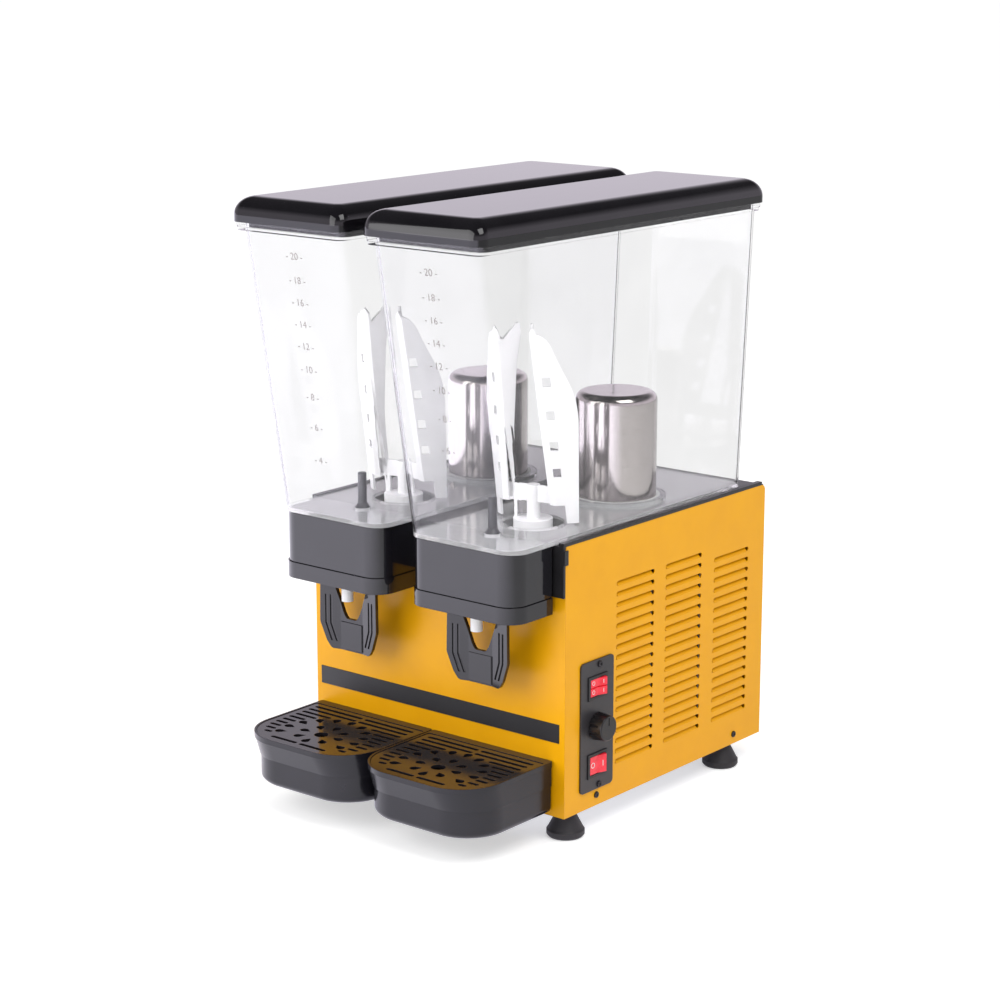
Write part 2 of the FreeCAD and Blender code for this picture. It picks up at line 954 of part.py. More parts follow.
def tank_seals():
    """Dome gasket, shaft seal and the tap body's ring, as three rubber rings."""
    hole = dome_radius + gasket_width
    gasket = tube(0, dome_y, tank_bottom, floor_z + dome_collar_height, hole,
                  dome_radius + dome_fit_gap)
    top = well_floor + spigot_height
    lip = tube(0, paddle_y, top - seal_height, top, shaft_radius + seal_width,
               shaft_radius + running_fit)
    ring_z = tank_bottom - boss_drop / 2
    ring = tube(0, plunger_y, ring_z - ring_half_height, ring_z + ring_half_height,
                boss_radius - boss_wall,
                chamber_radius + chamber_wall - groove_depth + running_fit)
    return [gasket, lip, ring]


def lid():
    """Gloss lid: rounded top shell with a plug lip inside the tank's rim."""
    shell = lid_form(0).cut(lid_form(lid_wall))
    plug_low = lid_bottom - lid_plug_depth
    plug = slab(tank_top_outline(plug_low, 0), lid_plug_depth + lid_wall)
    web = slab(rim_outline(lid_bottom, 0, rim_corner), lid_wall)
    hollow = slab(tank_top_outline(plug_low - 1, lid_wall), lid_plug_depth + lid_wall + 2)
    return join([shell, plug, web]).cut(hollow)


def tank_top_outline(z, inset):
    """Outline that clears the tank's mouth, for the lid's plug lip."""
    gap = tank_wall + lid_plug_gap + inset
    half = tank_width / 2 - gap
    corner = max(tank_top_corner - gap, 2)
    front = tank_top_front + gap + 1
    return outline(-half, half, front, tank_top_rear - gap - 1, z, corner, corner)


def lid_form(inset):
    """Lid's outer or inner form: straight skirt, then sections along a quarter round."""
    corner = rim_corner + lid_overhang
    shoulder = lid_bottom + lid_height - lid_round
    foot = rim_outline(lid_bottom, lid_overhang - inset, corner - inset)
    skirt = slab(foot, lid_height - lid_round)
    radius = lid_round - inset
    wires = []
    for k in range(lid_sections + 1):
        a = math.pi / 2 * k / lid_sections
        shrink = radius * (1 - math.cos(a))
        rounding = max(corner - inset - shrink * 0.45, 2)
        z = shoulder + radius * math.sin(a)
        wires.append(rim_outline(z, lid_overhang - inset - shrink, rounding))
    return skirt.fuse(loft(wires, False))


def dome():
    """Deep-drawn steel dome with a flange under the deck."""
    top = floor_z + dome_height
    low = deck_bottom - 3
    outer = post(0, dome_y, low, top, dome_radius)
    rim = [e for e in outer.Edges if e.Closed and abs(e.CenterOfMass.z - top) < 0.01]
    outer = outer.makeFillet(dome_round, rim)
    inner = post(0, dome_y, low - 1, top - dome_wall, dome_radius - dome_wall)
    inner_rim = [
        e for e in inner.Edges if e.Closed and abs(e.CenterOfMass.z - top + dome_wall) < 0.01
    ]
    inner = inner.makeFillet(dome_round - dome_wall, inner_rim)
    flange = post(0, dome_y, deck_bottom - 0.1 - dome_wall, deck_bottom - 0.1,
                  dome_radius + dome_flange)
    return join([outer, flange]).cut(inner)


def cooling_jacket():
    outer = dome_radius - dome_wall - jacket_gap
    top = floor_z + dome_height - dome_wall - dome_round
    return tube(0, dome_y, deck_bottom + jacket_lift, top, outer, outer - jacket_wall)


def drive_shaft():
    """Round shaft with a square top that turns the paddle's hub."""
    low = deck_bottom - shelf_drop - gearbox_height / 2
    top = floor_z + shaft_rise
    shaft = post(0, paddle_y, low, top, shaft_radius)
    half = shaft_square_half
    wide = shaft_radius + 1
    keep = join([
        box(-half, half, paddle_y - half, paddle_y + half, low, top),
        box(-wide, wide, paddle_y - wide, paddle_y + wide, low, top - shaft_square_length),
    ])
    shaft = shaft.common(keep)
    shaft.rotate(V(0, paddle_y, 0), UP, paddle_angle)
    return shaft


def shaft_bush():
    """Flanged bush in the bottom of the deck's cup."""
    low = cup_top - bush_height
    body = tube(0, paddle_y, low, cup_top, shaft_radius + bush_wall, shaft_radius + running_fit)
    collar = tube(0, paddle_y, low, cup_top - deck_thickness - 0.1,
                  shaft_radius + bush_wall + 3, shaft_radius + running_fit)
    return join([body, collar])


def gearmotor():
    """Geared motor under the shelf; its gear train is closed inside the box."""
    top = deck_bottom - shelf_drop - shelf_thickness - 0.1
    gearbox = box(
        -gearbox_width / 2,
        gearbox_width / 2,
        paddle_y - gearbox_depth / 2,
        paddle_y + gearbox_depth / 2,
        top - gearbox_height,
        top,
    )
    upright = [e for e in gearbox.Edges if abs(e.BoundBox.ZLength - gearbox_height) < 0.01]
    gearbox = gearbox.makeFillet(6, upright)
    motor = post(0, paddle_y, top - gearbox_height - motor_height, top - gearbox_height + 1,
                 motor_radius)
    nose = post(0, paddle_y, top - 1, deck_bottom - shelf_drop + nose_rise, nose_radius)
    bore = post(0, paddle_y, deck_bottom - shelf_drop - gearbox_height / 2 - 1, beyond,
                shaft_radius + running_fit)
    return join([gearbox, motor, nose]).cut(bore)


def motor_shelf():
    """Folded steel shelf between the side panels that carries both gearmotors."""
    top = deck_bottom - shelf_drop
    x = half_width - sheet - 0.1
    shelf = box(-x, x, shelf_front, shelf_rear, top - shelf_thickness, top)
    lips = [
        box(-x, -x + sheet, shelf_front, shelf_rear, top - shelf_thickness, top + shelf_lip),
        box(x - sheet, x, shelf_front, shelf_rear, top - shelf_thickness, top + shelf_lip),
        box(-x, x, shelf_front, shelf_front + sheet, top - shelf_lip, top),
    ]
    holes = [
        post(s * tank_pitch / 2, paddle_y, 0, beyond, nose_radius + free_gap)
        for s in sides.values()
    ]
    return carve(join([shelf] + lips), holes)


def leaf(foot, along, corners, curve, cutters=()):
    """Flat leaf of a wing: corners and a closing curve as (width, height) from its fold."""
    lean = V(wing_lean_u, wing_lean_v, 1)
    normal = along.cross(lean).normalize()

    def on_leaf(point, back=paddle_plate / 2):
        return foot + along * point[0] + lean * point[1] - normal * back

    edges = [
        Part.LineSegment(on_leaf(p), on_leaf(q)).toShape()
        for p, q in zip(corners[:-1], corners[1:])
    ]
    if curve:
        spline = Part.BSplineCurve()
        spline.interpolate([on_leaf(p) for p in [corners[-1]] + curve + [corners[0]]])
        edges.append(spline.toShape())
    else:
        edges.append(Part.LineSegment(on_leaf(corners[-1]), on_leaf(corners[0])).toShape())
    body = Part.Face(Part.Wire(edges)).extrude(normal * paddle_plate)
    cuts = []
    for w, h in cutters:
        half = wing_slot_width / 2
        rise = wing_slot_height / 2
        window = [(w - half, h - rise), (w + half, h - rise), (w + half, h + rise),
                  (w - half, h + rise)]
        points = [on_leaf(p, paddle_plate / 2 + 1) for p in window]
        cuts.append(prism(points, normal * (paddle_plate + 2)))
    return carve(body, cuts)


def fold(foot, low, high):
    """Round edge where two leaves of a wing meet."""
    lean = V(wing_lean_u, wing_lean_v, 1)
    return rod(foot + lean * low, foot + lean * high, paddle_plate / 2)


def wing():
    """Right wing, leaning forwards: slotted outer panel, narrow front leaf and a rear fin."""
    outer = V(bend_outer_u, bend_outer_v, 0)
    inner = V(bend_inner_u, bend_inner_v, 0)
    bar_top = crossbar_bottom + crossbar_height
    shoulder = tip_height - tip_shoulder_drop
    angle = math.radians(panel_angle)
    panel = leaf(
        outer,
        V(math.cos(angle), math.sin(angle), 0),
        [
            (0, panel_height),
            (0, crossbar_bottom),
            (panel_foot_width - leg_width, crossbar_bottom),
            (panel_foot_width - leg_width, 0),
            (panel_foot_width, 0),
            (panel_wide_width, panel_wide_height),
        ],
        panel_rear_edge,
        [(wing_slot_centre, h) for h in wing_slot_heights],
    )
    width = (inner - outer).Length
    front = leaf(
        outer,
        (inner - outer).normalize(),
        [
            (0, crossbar_bottom),
            (width, crossbar_bottom),
            (width, shoulder),
            (width / 2, tip_height),
            (0, panel_height),
        ],
        [],
    )
    at_bar = inner + V(wing_lean_u, wing_lean_v, 0) * bar_top
    back = V(fin_u, fin_v, 0) - at_bar
    foot = back.Length
    fin = leaf(
        inner,
        back.normalize(),
        [
            (foot, bar_top),
            (foot, crossbar_bottom),
            (foot - fin_foot_width, crossbar_bottom),
            (foot - fin_foot_width, bar_top),
            (0, slit_height),
            (0, shoulder),
            (fin_notch_width, notch_height),
            (fin_top_width, fin_height - 0.5),
        ],
        fin_rear_edge,
    )
    folds = [fold(outer, crossbar_bottom, panel_height - 1), fold(inner, slit_height, shoulder - 1)]
    return join([panel, front, fin] + folds)


def paddle():
    """White stirring paddle: skirted hub, crossbar and two leaning wings with legs."""
    low = floor_z + paddle_floor_gap
    bar_low = low + crossbar_bottom
    bar_top = bar_low + crossbar_height
    base = low - well_depth
    skirt_top = low + hub_skirt_rise
    disc = Part.makeCone(hub_disc_radius, hub_disc_radius - 3, hub_disc_thickness, V(0, 0, base))
    skirt = post(0, 0, base, skirt_top, hub_skirt_radius)
    hub = post(0, 0, skirt_top - 1, bar_top, hub_radius)
    bar = box(-crossbar_half_length, crossbar_half_length, -paddle_plate, 0, bar_low, bar_top)
    right = wing()
    right.translate(V(0, 0, low))
    left = right.mirror(V(0, 0, 0), V(1, 0, 0))
    foot = V(wing_lean_u, wing_lean_v, 0) * crossbar_bottom
    webs = []
    for mirror in (1, -1):
        corners = [
            V((bend_inner_u + foot.x) * mirror, bend_inner_v + foot.y, bar_low),
            V((bend_outer_u + foot.x) * mirror, bend_outer_v + foot.y, bar_low),
            V(crossbar_half_length * mirror, -0.5, bar_low),
            V((fin_u - 1) * mirror, -0.5, bar_low),
        ]
        webs.append(prism(corners, V(0, 0, paddle_plate)))
    rib_x = rib_width / 2 - hub_skirt_radius
    rib = box(rib_x - rib_width / 2, rib_x + rib_width / 2, -paddle_plate, 0, skirt_top - 1,
              bar_low + 1)
    body = join([disc, skirt, hub, bar, rib, left, right] + webs)
    socket = shaft_square_half + socket_gap
    top = floor_z + shaft_rise
    inside = hub_skirt_radius - hub_skirt_wall
    body = carve(
        body,
        [
            post(0, 0, base - 1, skirt_top - hub_skirt_wall, inside),
            post(0, 0, base - 1, top - shaft_square_length + free_gap, shaft_radius + free_gap),
            box(-socket, socket, -socket, socket, base, top + free_gap),
        ],
    )
    body.rotate(V(0, 0, 0), UP, paddle_angle)
    body.translate(V(0, paddle_y, 0))
    return body


def cover_slab(z, height, inset):
    half = cover_width / 2 - inset
    front = cover_front + inset
    corner = cover_corner - inset
    return slab(outline(-half, half, front, cover_rear - max(inset, 0), z, corner, 2.0), height)


def tap_cover():
    """Upper tap cover: open below, with a thin roof that the tank's floor rests on."""
    top = tank_bottom - seat_gap
    low = top - cover_height
    shell = cover_slab(low, cover_height, 0)
    shell = shell.cut(cover_slab(low - 1, cover_height - cover_wall + 1, cover_wall))
    return shell.cut(post(0, plunger_y, 0, beyond, boss_radius + free_gap))


def tap_cover_band():
    """Lower band of the tap cover: a shallow tray with a window for the lever and spout."""
    top = tank_bottom - seat_gap - cover_height - band_seam
    low = top - band_height
    shell = cover_slab(low, band_height, -band_proud)
    shell = shell.cut(cover_slab(low + cover_wall, band_height, cover_wall - band_proud))
    window = box(
        -lever_wide_half_width - 3,
        lever_wide_half_width + 3,
        spout_y - spout_radius - 2.5,
        pivot_y + 12,
        low - 1,
        low + cover_wall + 1,
    )
    tongue = cover_slab(low + 3, band_height + 3, cover_wall + 0.2)
    tongue = tongue.cut(cover_slab(low + 2, band_height + 9, cover_wall + 2))
    ledge = cover_slab(low + 3, band_height - 4, cover_wall - band_proud - 0.1)
    ledge = ledge.cut(cover_slab(low + 2, band_height, cover_wall + 2))
    collar_room = post(0, plunger_y, 0, beyond, plunger_collar_radius + 1)
    return carve(join([shell, tongue, ledge]), [window, collar_room])


def tap_body():
    """White tap: valve chamber under the outlet, a channel forward and the spout."""
    top = floor_z
    low = tank_bottom - chamber_drop
    chamber = post(0, plunger_y, low, top, chamber_radius + chamber_wall)
    channel_z = tank_bottom - channel_drop
    block = box(
        -channel_width / 2,
        channel_width / 2,
        spout_y,
        plunger_y,
        channel_z - channel_height / 2,
        channel_z + channel_height / 2,
    )
    spout = post(0, spout_y, spout_bottom, channel_z + channel_height / 2, spout_radius)
    pivot_z = tank_bottom - pivot_drop
    lug = rod(V(-channel_width / 2, pivot_y, pivot_z), V(channel_width / 2, pivot_y, pivot_z),
              pivot_lug_radius)
    web = box(
        -channel_width / 2,
        channel_width / 2,
        pivot_y - pivot_lug_radius,
        pivot_y + pivot_lug_radius,
        pivot_z,
        channel_z,
    )
    pin = rod(V(-pivot_half_span, pivot_y, pivot_z), V(pivot_half_span, pivot_y, pivot_z),
              pivot_radius)
    body = join([chamber, block, spout, lug, web, pin])
    groove_z = tank_bottom - boss_drop / 2
    cuts = [
        post(0, plunger_y, low + chamber_floor, top - 3, chamber_radius),
        post(0, plunger_y, top - 4, top + 1, outlet_radius),
        post(0, plunger_y, low - 1, low + chamber_floor + 1, plunger_radius + running_fit),
        rod(V(0, plunger_y, channel_z), V(0, spout_y, channel_z), spout_bore),
        post(0, spout_y, spout_bottom - 1, channel_z, spout_bore),
        tube(0, plunger_y, groove_z - ring_half_height - groove_play,
             groove_z + ring_half_height + groove_play, beyond,
             chamber_radius + chamber_wall - groove_depth),
    ]
    return carve(body, cuts)


def spring_length():
    return plunger_stroke + spring_shut_length


def plunger_collar_top():
    return tank_bottom - chamber_drop - spring_length()


def tap_plunger():
    """Dark valve plunger: rod through the tap body, seal on its seat, collar at its foot."""
    top = floor_z + plunger_rise
    collar_top = plunger_collar_top()
    low = collar_top - plunger_collar_height
    stem = post(0, plunger_y, low, top, plunger_radius)
    tip = [e for e in stem.Edges if e.Closed and abs(e.CenterOfMass.z - top) < 0.01]
    stem = stem.makeFillet(1.5, tip)
    seal = Part.makeCone(plunger_seal_radius, plunger_radius + 0.5, plunger_seal_height,
                         V(0, plunger_y, floor_z + seat_gap))
    collar = post(0, plunger_y, low, collar_top, plunger_collar_radius)
    return join([stem, seal, collar])


def tap_spring():
    """Closed sleeve as large as the coil spring that shuts the valve."""
    low = plunger_collar_top() + 0.1
    high = tank_bottom - chamber_drop - 0.1
    return tube(0, plunger_y, low, high, plunger_radius + 0.4 + spring_wall, plunger_radius + 0.4)


def lever_half_outline():
    """Half of the lever's front outline, from the vee's bottom round to its top."""
    return [
        (0, vee_bottom),
        (0, lever_bottom),
        (lever_low_half_width - lever_corner, lever_bottom),
        (lever_low_half_width, lever_low_height),
        (lever_wide_half_width, lever_wide_height),
        (lever_top_half_width, lever_top),
        (vee_top_half_width, lever_top),
        (vee_knee_half_width, vee_knee_height),
        (vee_bottom_half_width, vee_bottom),
    ]


def lever_dished(front_shift, back_shift):
    """Slab bent like the lever: a flat middle, and sides that come forward to its edges."""
    middle = lever_panel_half_width
    edge = lever_wide_half_width + 5
    rake = lever_dish * (edge - middle) / (lever_wide_half_width - middle)
    y0 = lever_panel_y + front_shift
    y1 = lever_panel_y + back_shift
    z0 = lever_bottom - 5
    points = [
        V(-edge, y0 - rake, z0),
        V(-middle, y0, z0),
        V(middle, y0, z0),
        V(edge, y0 - rake, z0),
        V(edge, y1 - rake, z0),
        V(middle, y1, z0),
        V(-middle, y1, z0),
        V(-edge, y1 - rake, z0),
    ]
    return prism(points, V(0, 0, lever_top - z0 + 5))


def lever_blank():
    """Lever outline as a thick block, with its corners and its vee rounded."""
    y0 = lever_panel_y - lever_dish * 2
    halves = []
    for mirror in (1, -1):
        points = [V(mirror * x, y0, z) for x, z in lever_half_outline()]
        halves.append(prism(points, V(0, lever_dish * 2 + lever_thickness + 4, 0)))
    block = join(halves)
    low = (lever_low_half_width - lever_corner, lever_low_half_width)

    def upright(x, z):
        return [
            e
            for e in block.Edges
            if e.BoundBox.YLength > lever_thickness
            and abs(abs(e.CenterOfMass.x) - x) < 0.01
            and abs(e.CenterOfMass.z - z) < 0.01
        ]

    block = block.makeFillet(lever_corner, upright(low[0], lever_bottom))
    block = block.makeFillet(lever_corner, upright(low[1], lever_low_height))
    block = block.makeFillet(lever_corner * 2, upright(lever_wide_half_width, lever_wide_height))
    block = block.makeFillet(vee_round, upright(vee_bottom_half_width, vee_bottom))
    return block.makeFillet(vee_round * 3, upright(vee_knee_half_width, vee_knee_height))


def tap_lever():
    """Black push lever: a dished plate with a vee round the spout, ears, and a fork."""
    plate = lever_blank().common(lever_dished(0, lever_thickness))
    pivot_z = tank_bottom - pivot_drop
    panel_half = lever_panel_half_width - 1
    panel = box(
        -panel_half,
        panel_half,
        lever_panel_y - lever_panel_proud,
        lever_panel_y + 1,
        lever_bottom + 1.5,
        vee_bottom - 4,
    )
    parts = [plate, panel]
    edge_y = lever_panel_y - lever_dish * 0.7
    for mirror in (1, -1):
        x0 = mirror * ear_inner
        run = V(mirror * ear_thickness, 0, 0)
        parts.append(
            prism(
                [
                    V(x0, edge_y + 1, lever_top - 18),
                    V(x0, edge_y, lever_top),
                    V(x0, pivot_y - ear_radius * 0.7, pivot_z + ear_radius * 0.7),
                    V(x0, pivot_y + ear_radius * 0.7, pivot_z - ear_radius * 0.7),
                    V(x0, edge_y + lever_thickness, lever_top - 18),
                ],
                run,
            )
        )
        parts.append(rod(V(x0, pivot_y, pivot_z), V(x0, pivot_y, pivot_z) + run, ear_radius))
    fork_top = plunger_collar_top() - plunger_collar_height - fork_gap
    fork_low = fork_top - fork_height
    bar_front = pivot_y + fork_pivot_gap
    bar_back = plunger_y - plunger_radius - free_gap - 1
    parts.append(box(-ear_inner - 1, ear_inner + 1, bar_front, bar_back, fork_low, fork_top))
    for mirror in (1, -1):
        x0 = mirror * (plunger_radius + free_gap)
        x1 = x0 + mirror * fork_width
        tine = box(
            min(x0, x1), max(x0, x1), bar_front, plunger_y + fork_reach, fork_low, fork_top
        )
        parts.append(tine)
        x0 = mirror * ear_inner
        x1 = x0 + mirror * ear_thickness
        parts.append(
            box(min(x0, x1), max(x0, x1), bar_front - 2, bar_back, fork_low, pivot_z)
        )
    body = join(parts)
    hole = rod(V(-beyond, pivot_y, pivot_z), V(beyond, pivot_y, pivot_z), pivot_radius + running_fit)
    return carve(body, [hole] + lever_grooves())


def lever_grooves():
    """Grooves down each side of the lever, following its dished face."""
    skin = lever_dished(-lever_dish * 3, lever_groove_depth)
    y0 = lever_panel_y - lever_dish * 3
    run = V(0, lever_dish * 3 + lever_groove_depth, 0)
    cuts = []
    for mirror in (1, -1):
        for offset in lever_groove_offsets:
            top_x = lever_wide_half_width - offset
            low_x = lever_low_half_width - offset + 1
            width = lever_groove_width
            points = [
                (top_x, lever_wide_height + 32),
                (top_x - width, lever_wide_height + 32),
                (top_x - width, lever_wide_height - 1),
                (low_x - width, lever_low_height),
                (low_x, lever_low_height),
                (top_x, lever_wide_height - 1),
            ]
            groove = prism([V(mirror * x, y0, z) for x, z in points], run)
            cuts.append(groove.common(skin))
    return cuts


def tray_outline(z, side, front, wall=0, rear=tray_tub_back):
    """Tray outline at height z, moved in at the sides, at the front and by its wall."""
    half = tray_width / 2 - side - wall
    near = tray_front + front + wall
    corner = max(tray_corner - front * 0.4 - wall, 5)
    return outline(-half, half, near, rear - wall, z, corner, tray_rear_corner)


def tray_form(z, side, front):
    """Outline of the tray's outside, whose cheeks run back to the front panel."""
    return tray_outline(z, side, front, 0, tray_back)


def drip_tray():
    """Moulded tray: lip, sloped front, straight tub, ledge, two cheeks and a rear hook."""
    lip_z = tray_top - tray_lip_height
    lip = slab(tray_form(lip_z, 0, 0), tray_lip_height)
    slope = loft([
        tray_form(tray_step, tray_side_slope, tray_front_slope),
        tray_form(lip_z + 0.1, tray_lip_side_step, tray_lip_front_step),
    ])
    side = tray_side_slope + tray_step_depth
    front = tray_front_slope + tray_step_depth
    edge_z = tray_bottom + tray_edge_round
    tub = slab(tray_form(edge_z, side, front), tray_step - edge_z + 0.1)
    wires = []
    for angle in (0, 30, 60, 90):
        a = math.radians(angle)
        shrink = tray_edge_round * (1 - math.sin(a))
        z = edge_z - tray_edge_round * math.cos(a)
        wires.append(tray_form(z, side + shrink, front + shrink))
    foot_edge = loft(wires, False)
    ledge_z = tray_top - grille_thickness - grille_recess - seat_gap
    hollow_top = slab(tray_outline(ledge_z, 0, 0, tray_wall), beyond)
    deep = tray_wall + tray_ledge
    hollow_mid = loft([
        tray_outline(tray_step, side, front, deep),
        tray_outline(ledge_z + 1, 0, tray_hollow_slope, deep),
    ])
    low = tray_bottom + tray_wall
    inset = tray_hollow_slope
    hollow_low = slab(tray_outline(low, side + inset, front + inset, deep), tray_step - low + 0.1)
    rim_low = tray_top - rim_block_height
    between = tray_width / 2 - side - tray_wall
    pocket = box(-between, between, tray_tub_back, tray_back + 1, tray_bottom - 1, rim_low)
    outside = join([lip, slope, tub, foot_edge]).cut(pocket)
    hook = box(
        -bracket_width / 2 + hook_side_gap,
        bracket_width / 2 - hook_side_gap,
        tray_back - 1 - hook_lip_thickness,
        tray_back - 1,
        rim_low - hook_lip_drop,
        rim_low + 1,
    )
    return carve(join([outside, hook]), [hollow_top, hollow_mid, hollow_low])


def tray_bracket():
    """Channel on the front panel that the tray's hook drops into."""
    top = tray_top - rim_block_height - seat_gap
    low = top - bracket_height
    half = bracket_width / 2
    back = box(-half, half, -bracket_thickness / 2, 0, low, top - 4)
    web = box(-half, half, -bracket_reach, 0, low, low + bracket_thickness)
    lip = box(-half, half, -bracket_reach, -bracket_reach + bracket_thickness, low, top)
    return join([back, web, lip])


def grille_row_half(y, border):
    """Half the room that the grille leaves for a slot at y, inside the round corners."""
    half = tray_width / 2 - tray_wall - grille_gap - border
    corner = tray_corner - tray_wall - grille_gap - border
    drop = tray_front + tray_corner - y
    if drop <= 0:
        return half
    reach = corner * corner - drop * drop
    return half - corner + math.sqrt(reach) if reach > 0 else 0


def drop_hole(x, y, turn, z0, z1):
    """Drop-shaped cutter: round outer end, pointed end towards the rose's middle."""
    radius = rose_drop_radius
    reach = rose_drop_length - radius
    side = math.acos(radius / reach)
    near = V(-radius * math.cos(side), radius * math.sin(side), z0)
    far = V(near.x, -near.y, z0)
    tail = prism([near, far, V(-reach, 0, z0)], V(0, 0, z1 - z0))
    drop = join([post(0, 0, z0, z1, radius), tail])
    drop.rotate(V(0, 0, 0), UP, turn)
    drop.translate(V(x, y, 0))
    return drop


def drip_grille():
    """Lift-out grille: slots across it and a rose of drop-shaped holes under the tap."""
    low = tray_top - grille_thickness - grille_recess
    plate = slab(tray_outline(low, 0, 0, tray_wall + grille_gap), grille_thickness)
    z0 = low - 1
    z1 = low + grille_thickness + 1
    rear = tray_tub_back - tray_wall - grille_gap - grille_border - grille_slot / 2
    rows = int((rear - tray_front) / grille_pitch)
    cuts = []
    for row in range(rows + 1):
        y = rear - row * grille_pitch
        room = grille_row_half(y - grille_slot / 2, grille_border)
        reach = rose_radius ** 2 - (y - rose_y) ** 2
        gap = math.sqrt(reach) if reach > 0 else grille_web / 2
        if y < rose_front:
            gap = grille_web / 2
        if room - gap > grille_slot * 1.6:
            cuts.append(slot_along_x(-room, -gap, y, z0, z1, grille_slot))
            cuts.append(slot_along_x(gap, room, y, z0, z1, grille_slot))
    cuts.append(post(0, rose_y, z0, z1, rose_centre_radius))
    for radius, count in zip(rose_ring_radii, rose_ring_counts):
        for k in range(count):
            turn = 360 * k / count
            x = radius * math.cos(math.radians(turn))
            y = rose_y + radius * math.sin(math.radians(turn))
            if y - rose_drop_radius > rose_front:
                cuts.append(drop_hole(x, y, turn, z0, z1))
    return carve(plate, cuts)


def compressor():
    """Sealed compressor can, its wall thick enough to weigh what the real one does."""
    low = base_z + sheet + grommet_height
    plate_x = compressor_plate_width / 2
    plate_y = compressor_plate_depth / 2
    plate = box(
        compressor_x - plate_x,
        compressor_x + plate_x,
        compressor_y - plate_y,
        compressor_y + plate_y,
        low,
        low + compressor_plate_thickness,
    )
    z0 = low + compressor_plate_thickness - 1
    z1 = z0 + compressor_height
    cap = 30.0

    def can(radius, bottom, top, rise):
        body = post(compressor_x, compressor_y, bottom, top, radius)
        ends = [e for e in body.Edges if e.Closed and e.BoundBox.ZLength < 0.01]
        return body.makeFillet(rise, ends)

    shell = can(compressor_radius, z0, z1, cap)
    seam = post(compressor_x, compressor_y, z0 + 78, z0 + 82, compressor_radius + 3)
    terminal = box(
        compressor_x + compressor_radius - 8,
        compressor_x + compressor_radius + 16,
        compressor_y - 26,
        compressor_y + 26,
        z0 + 40,
        z0 + 74,
    )
    inner = can(
        compressor_radius - compressor_wall,
        z0 + compressor_wall,
        z1 - compressor_wall,
        cap - compressor_wall,
    )
    holes = [post(x, y, 0, low + 9, 4) for x, y in grommet_sites()]
    return carve(join([plate, shell, seam, terminal]), [inner] + holes + pipe_sockets())


def grommet_sites():
    dx = compressor_plate_width / 2 - grommet_inset
    dy = compressor_plate_depth / 2 - grommet_inset
    return [
        (compressor_x + sx * dx, compressor_y + sy * dy) for sx in (-1, 1) for sy in (-1, 1)
    ]


def grommet(x, y):
    low = base_z + sheet
    return tube(x, y, low, low + grommet_height, grommet_radius, 4)


def condenser():
    """Finned coil beside the right louvres: upright fins on level tubes."""
    x1 = condenser_x + condenser_thickness
    low = base_z + condenser_bottom
    high = low + condenser_height
    ends = [
        box(condenser_x, x1, y, y + 2, low - condenser_bottom + sheet, high)
        for y in (condenser_front, condenser_rear - 2)
    ]
    step = (condenser_rear - condenser_front) / (fin_count + 1)
    fins = [
        box(
            condenser_x + 2,
            x1 - 2,
            condenser_front + step * (k + 1),
            condenser_front + step * (k + 1) + fin_thickness,
            low,
            high,
        )
        for k in range(fin_count)
    ]
    tubes = []
    for k in range(condenser_tube_rows):
        z = low + condenser_height * (k + 0.5) / condenser_tube_rows
        middle = condenser_x + condenser_thickness / 2
        tubes.append(rod(V(middle, condenser_front - 6, z), V(middle, condenser_rear + 6, z),
                         condenser_tube_radius))
    return carve(join(ends + fins + tubes), pipe_sockets())


def fan_axis():
    y = (condenser_front + condenser_rear) / 2
    return y, base_z + fan_height


def fan_shroud():
    y, z = fan_axis()
    x1 = condenser_x - 0.1
    x0 = x1 - shroud_depth
    low = base_z + condenser_bottom
    high = low + condenser_height
    shell = box(x0, x1, condenser_front, condenser_rear, low, high)
    hollow = box(
        x0 + shroud_wall,
        x1 + 1,
        condenser_front + shroud_wall,
        condenser_rear - shroud_wall,
        low + shroud_wall,
        high - shroud_wall,
    )
    ring = fan_radius + fan_tip_gap
    collar = rod(V(x0, y, z), V(x1 - 6, y, z), ring + fan_ring_wall)
    eye = rod(V(x0 - 1, y, z), V(x1 + 1, y, z), ring)
    feet = [
        box(x0, x0 + 12, yy, yy + 12, base_z + sheet, low + 1)
        for yy in (condenser_front, condenser_rear - 12)
    ]
    return join([shell.cut(hollow), collar] + feet).cut(eye)


def fan_motor():
    """Fan motor on three flat arms that bolt to the shroud's face."""
    y, z = fan_axis()
    face = condenser_x - 0.1 - shroud_depth
    front = face - fan_motor_gap
    can = rod(V(front - fan_motor_length, y, z), V(front, y, z), fan_motor_radius)
    parts = [can]
    reach = fan_radius + fan_tip_gap + fan_ring_wall + 1
    for k in range(3):
        arm = box(front - fan_arm_thickness, front, -fan_arm_width / 2, fan_arm_width / 2,
                  fan_motor_radius - 4, reach)
        pad = box(front - fan_arm_thickness, face - 0.1, -fan_arm_width / 2, fan_arm_width / 2,
                  reach - 8, reach)
        whole = join([arm, pad])
        whole.rotate(V(0, 0, 0), V(1, 0, 0), 120 * k + 45)
        whole.translate(V(0, y, z))
        parts.append(whole)
    bore = rod(V(front - 20, y, z), V(front + 9, y, z), fan_shaft_radius + running_fit)
    return join(parts).cut(bore)


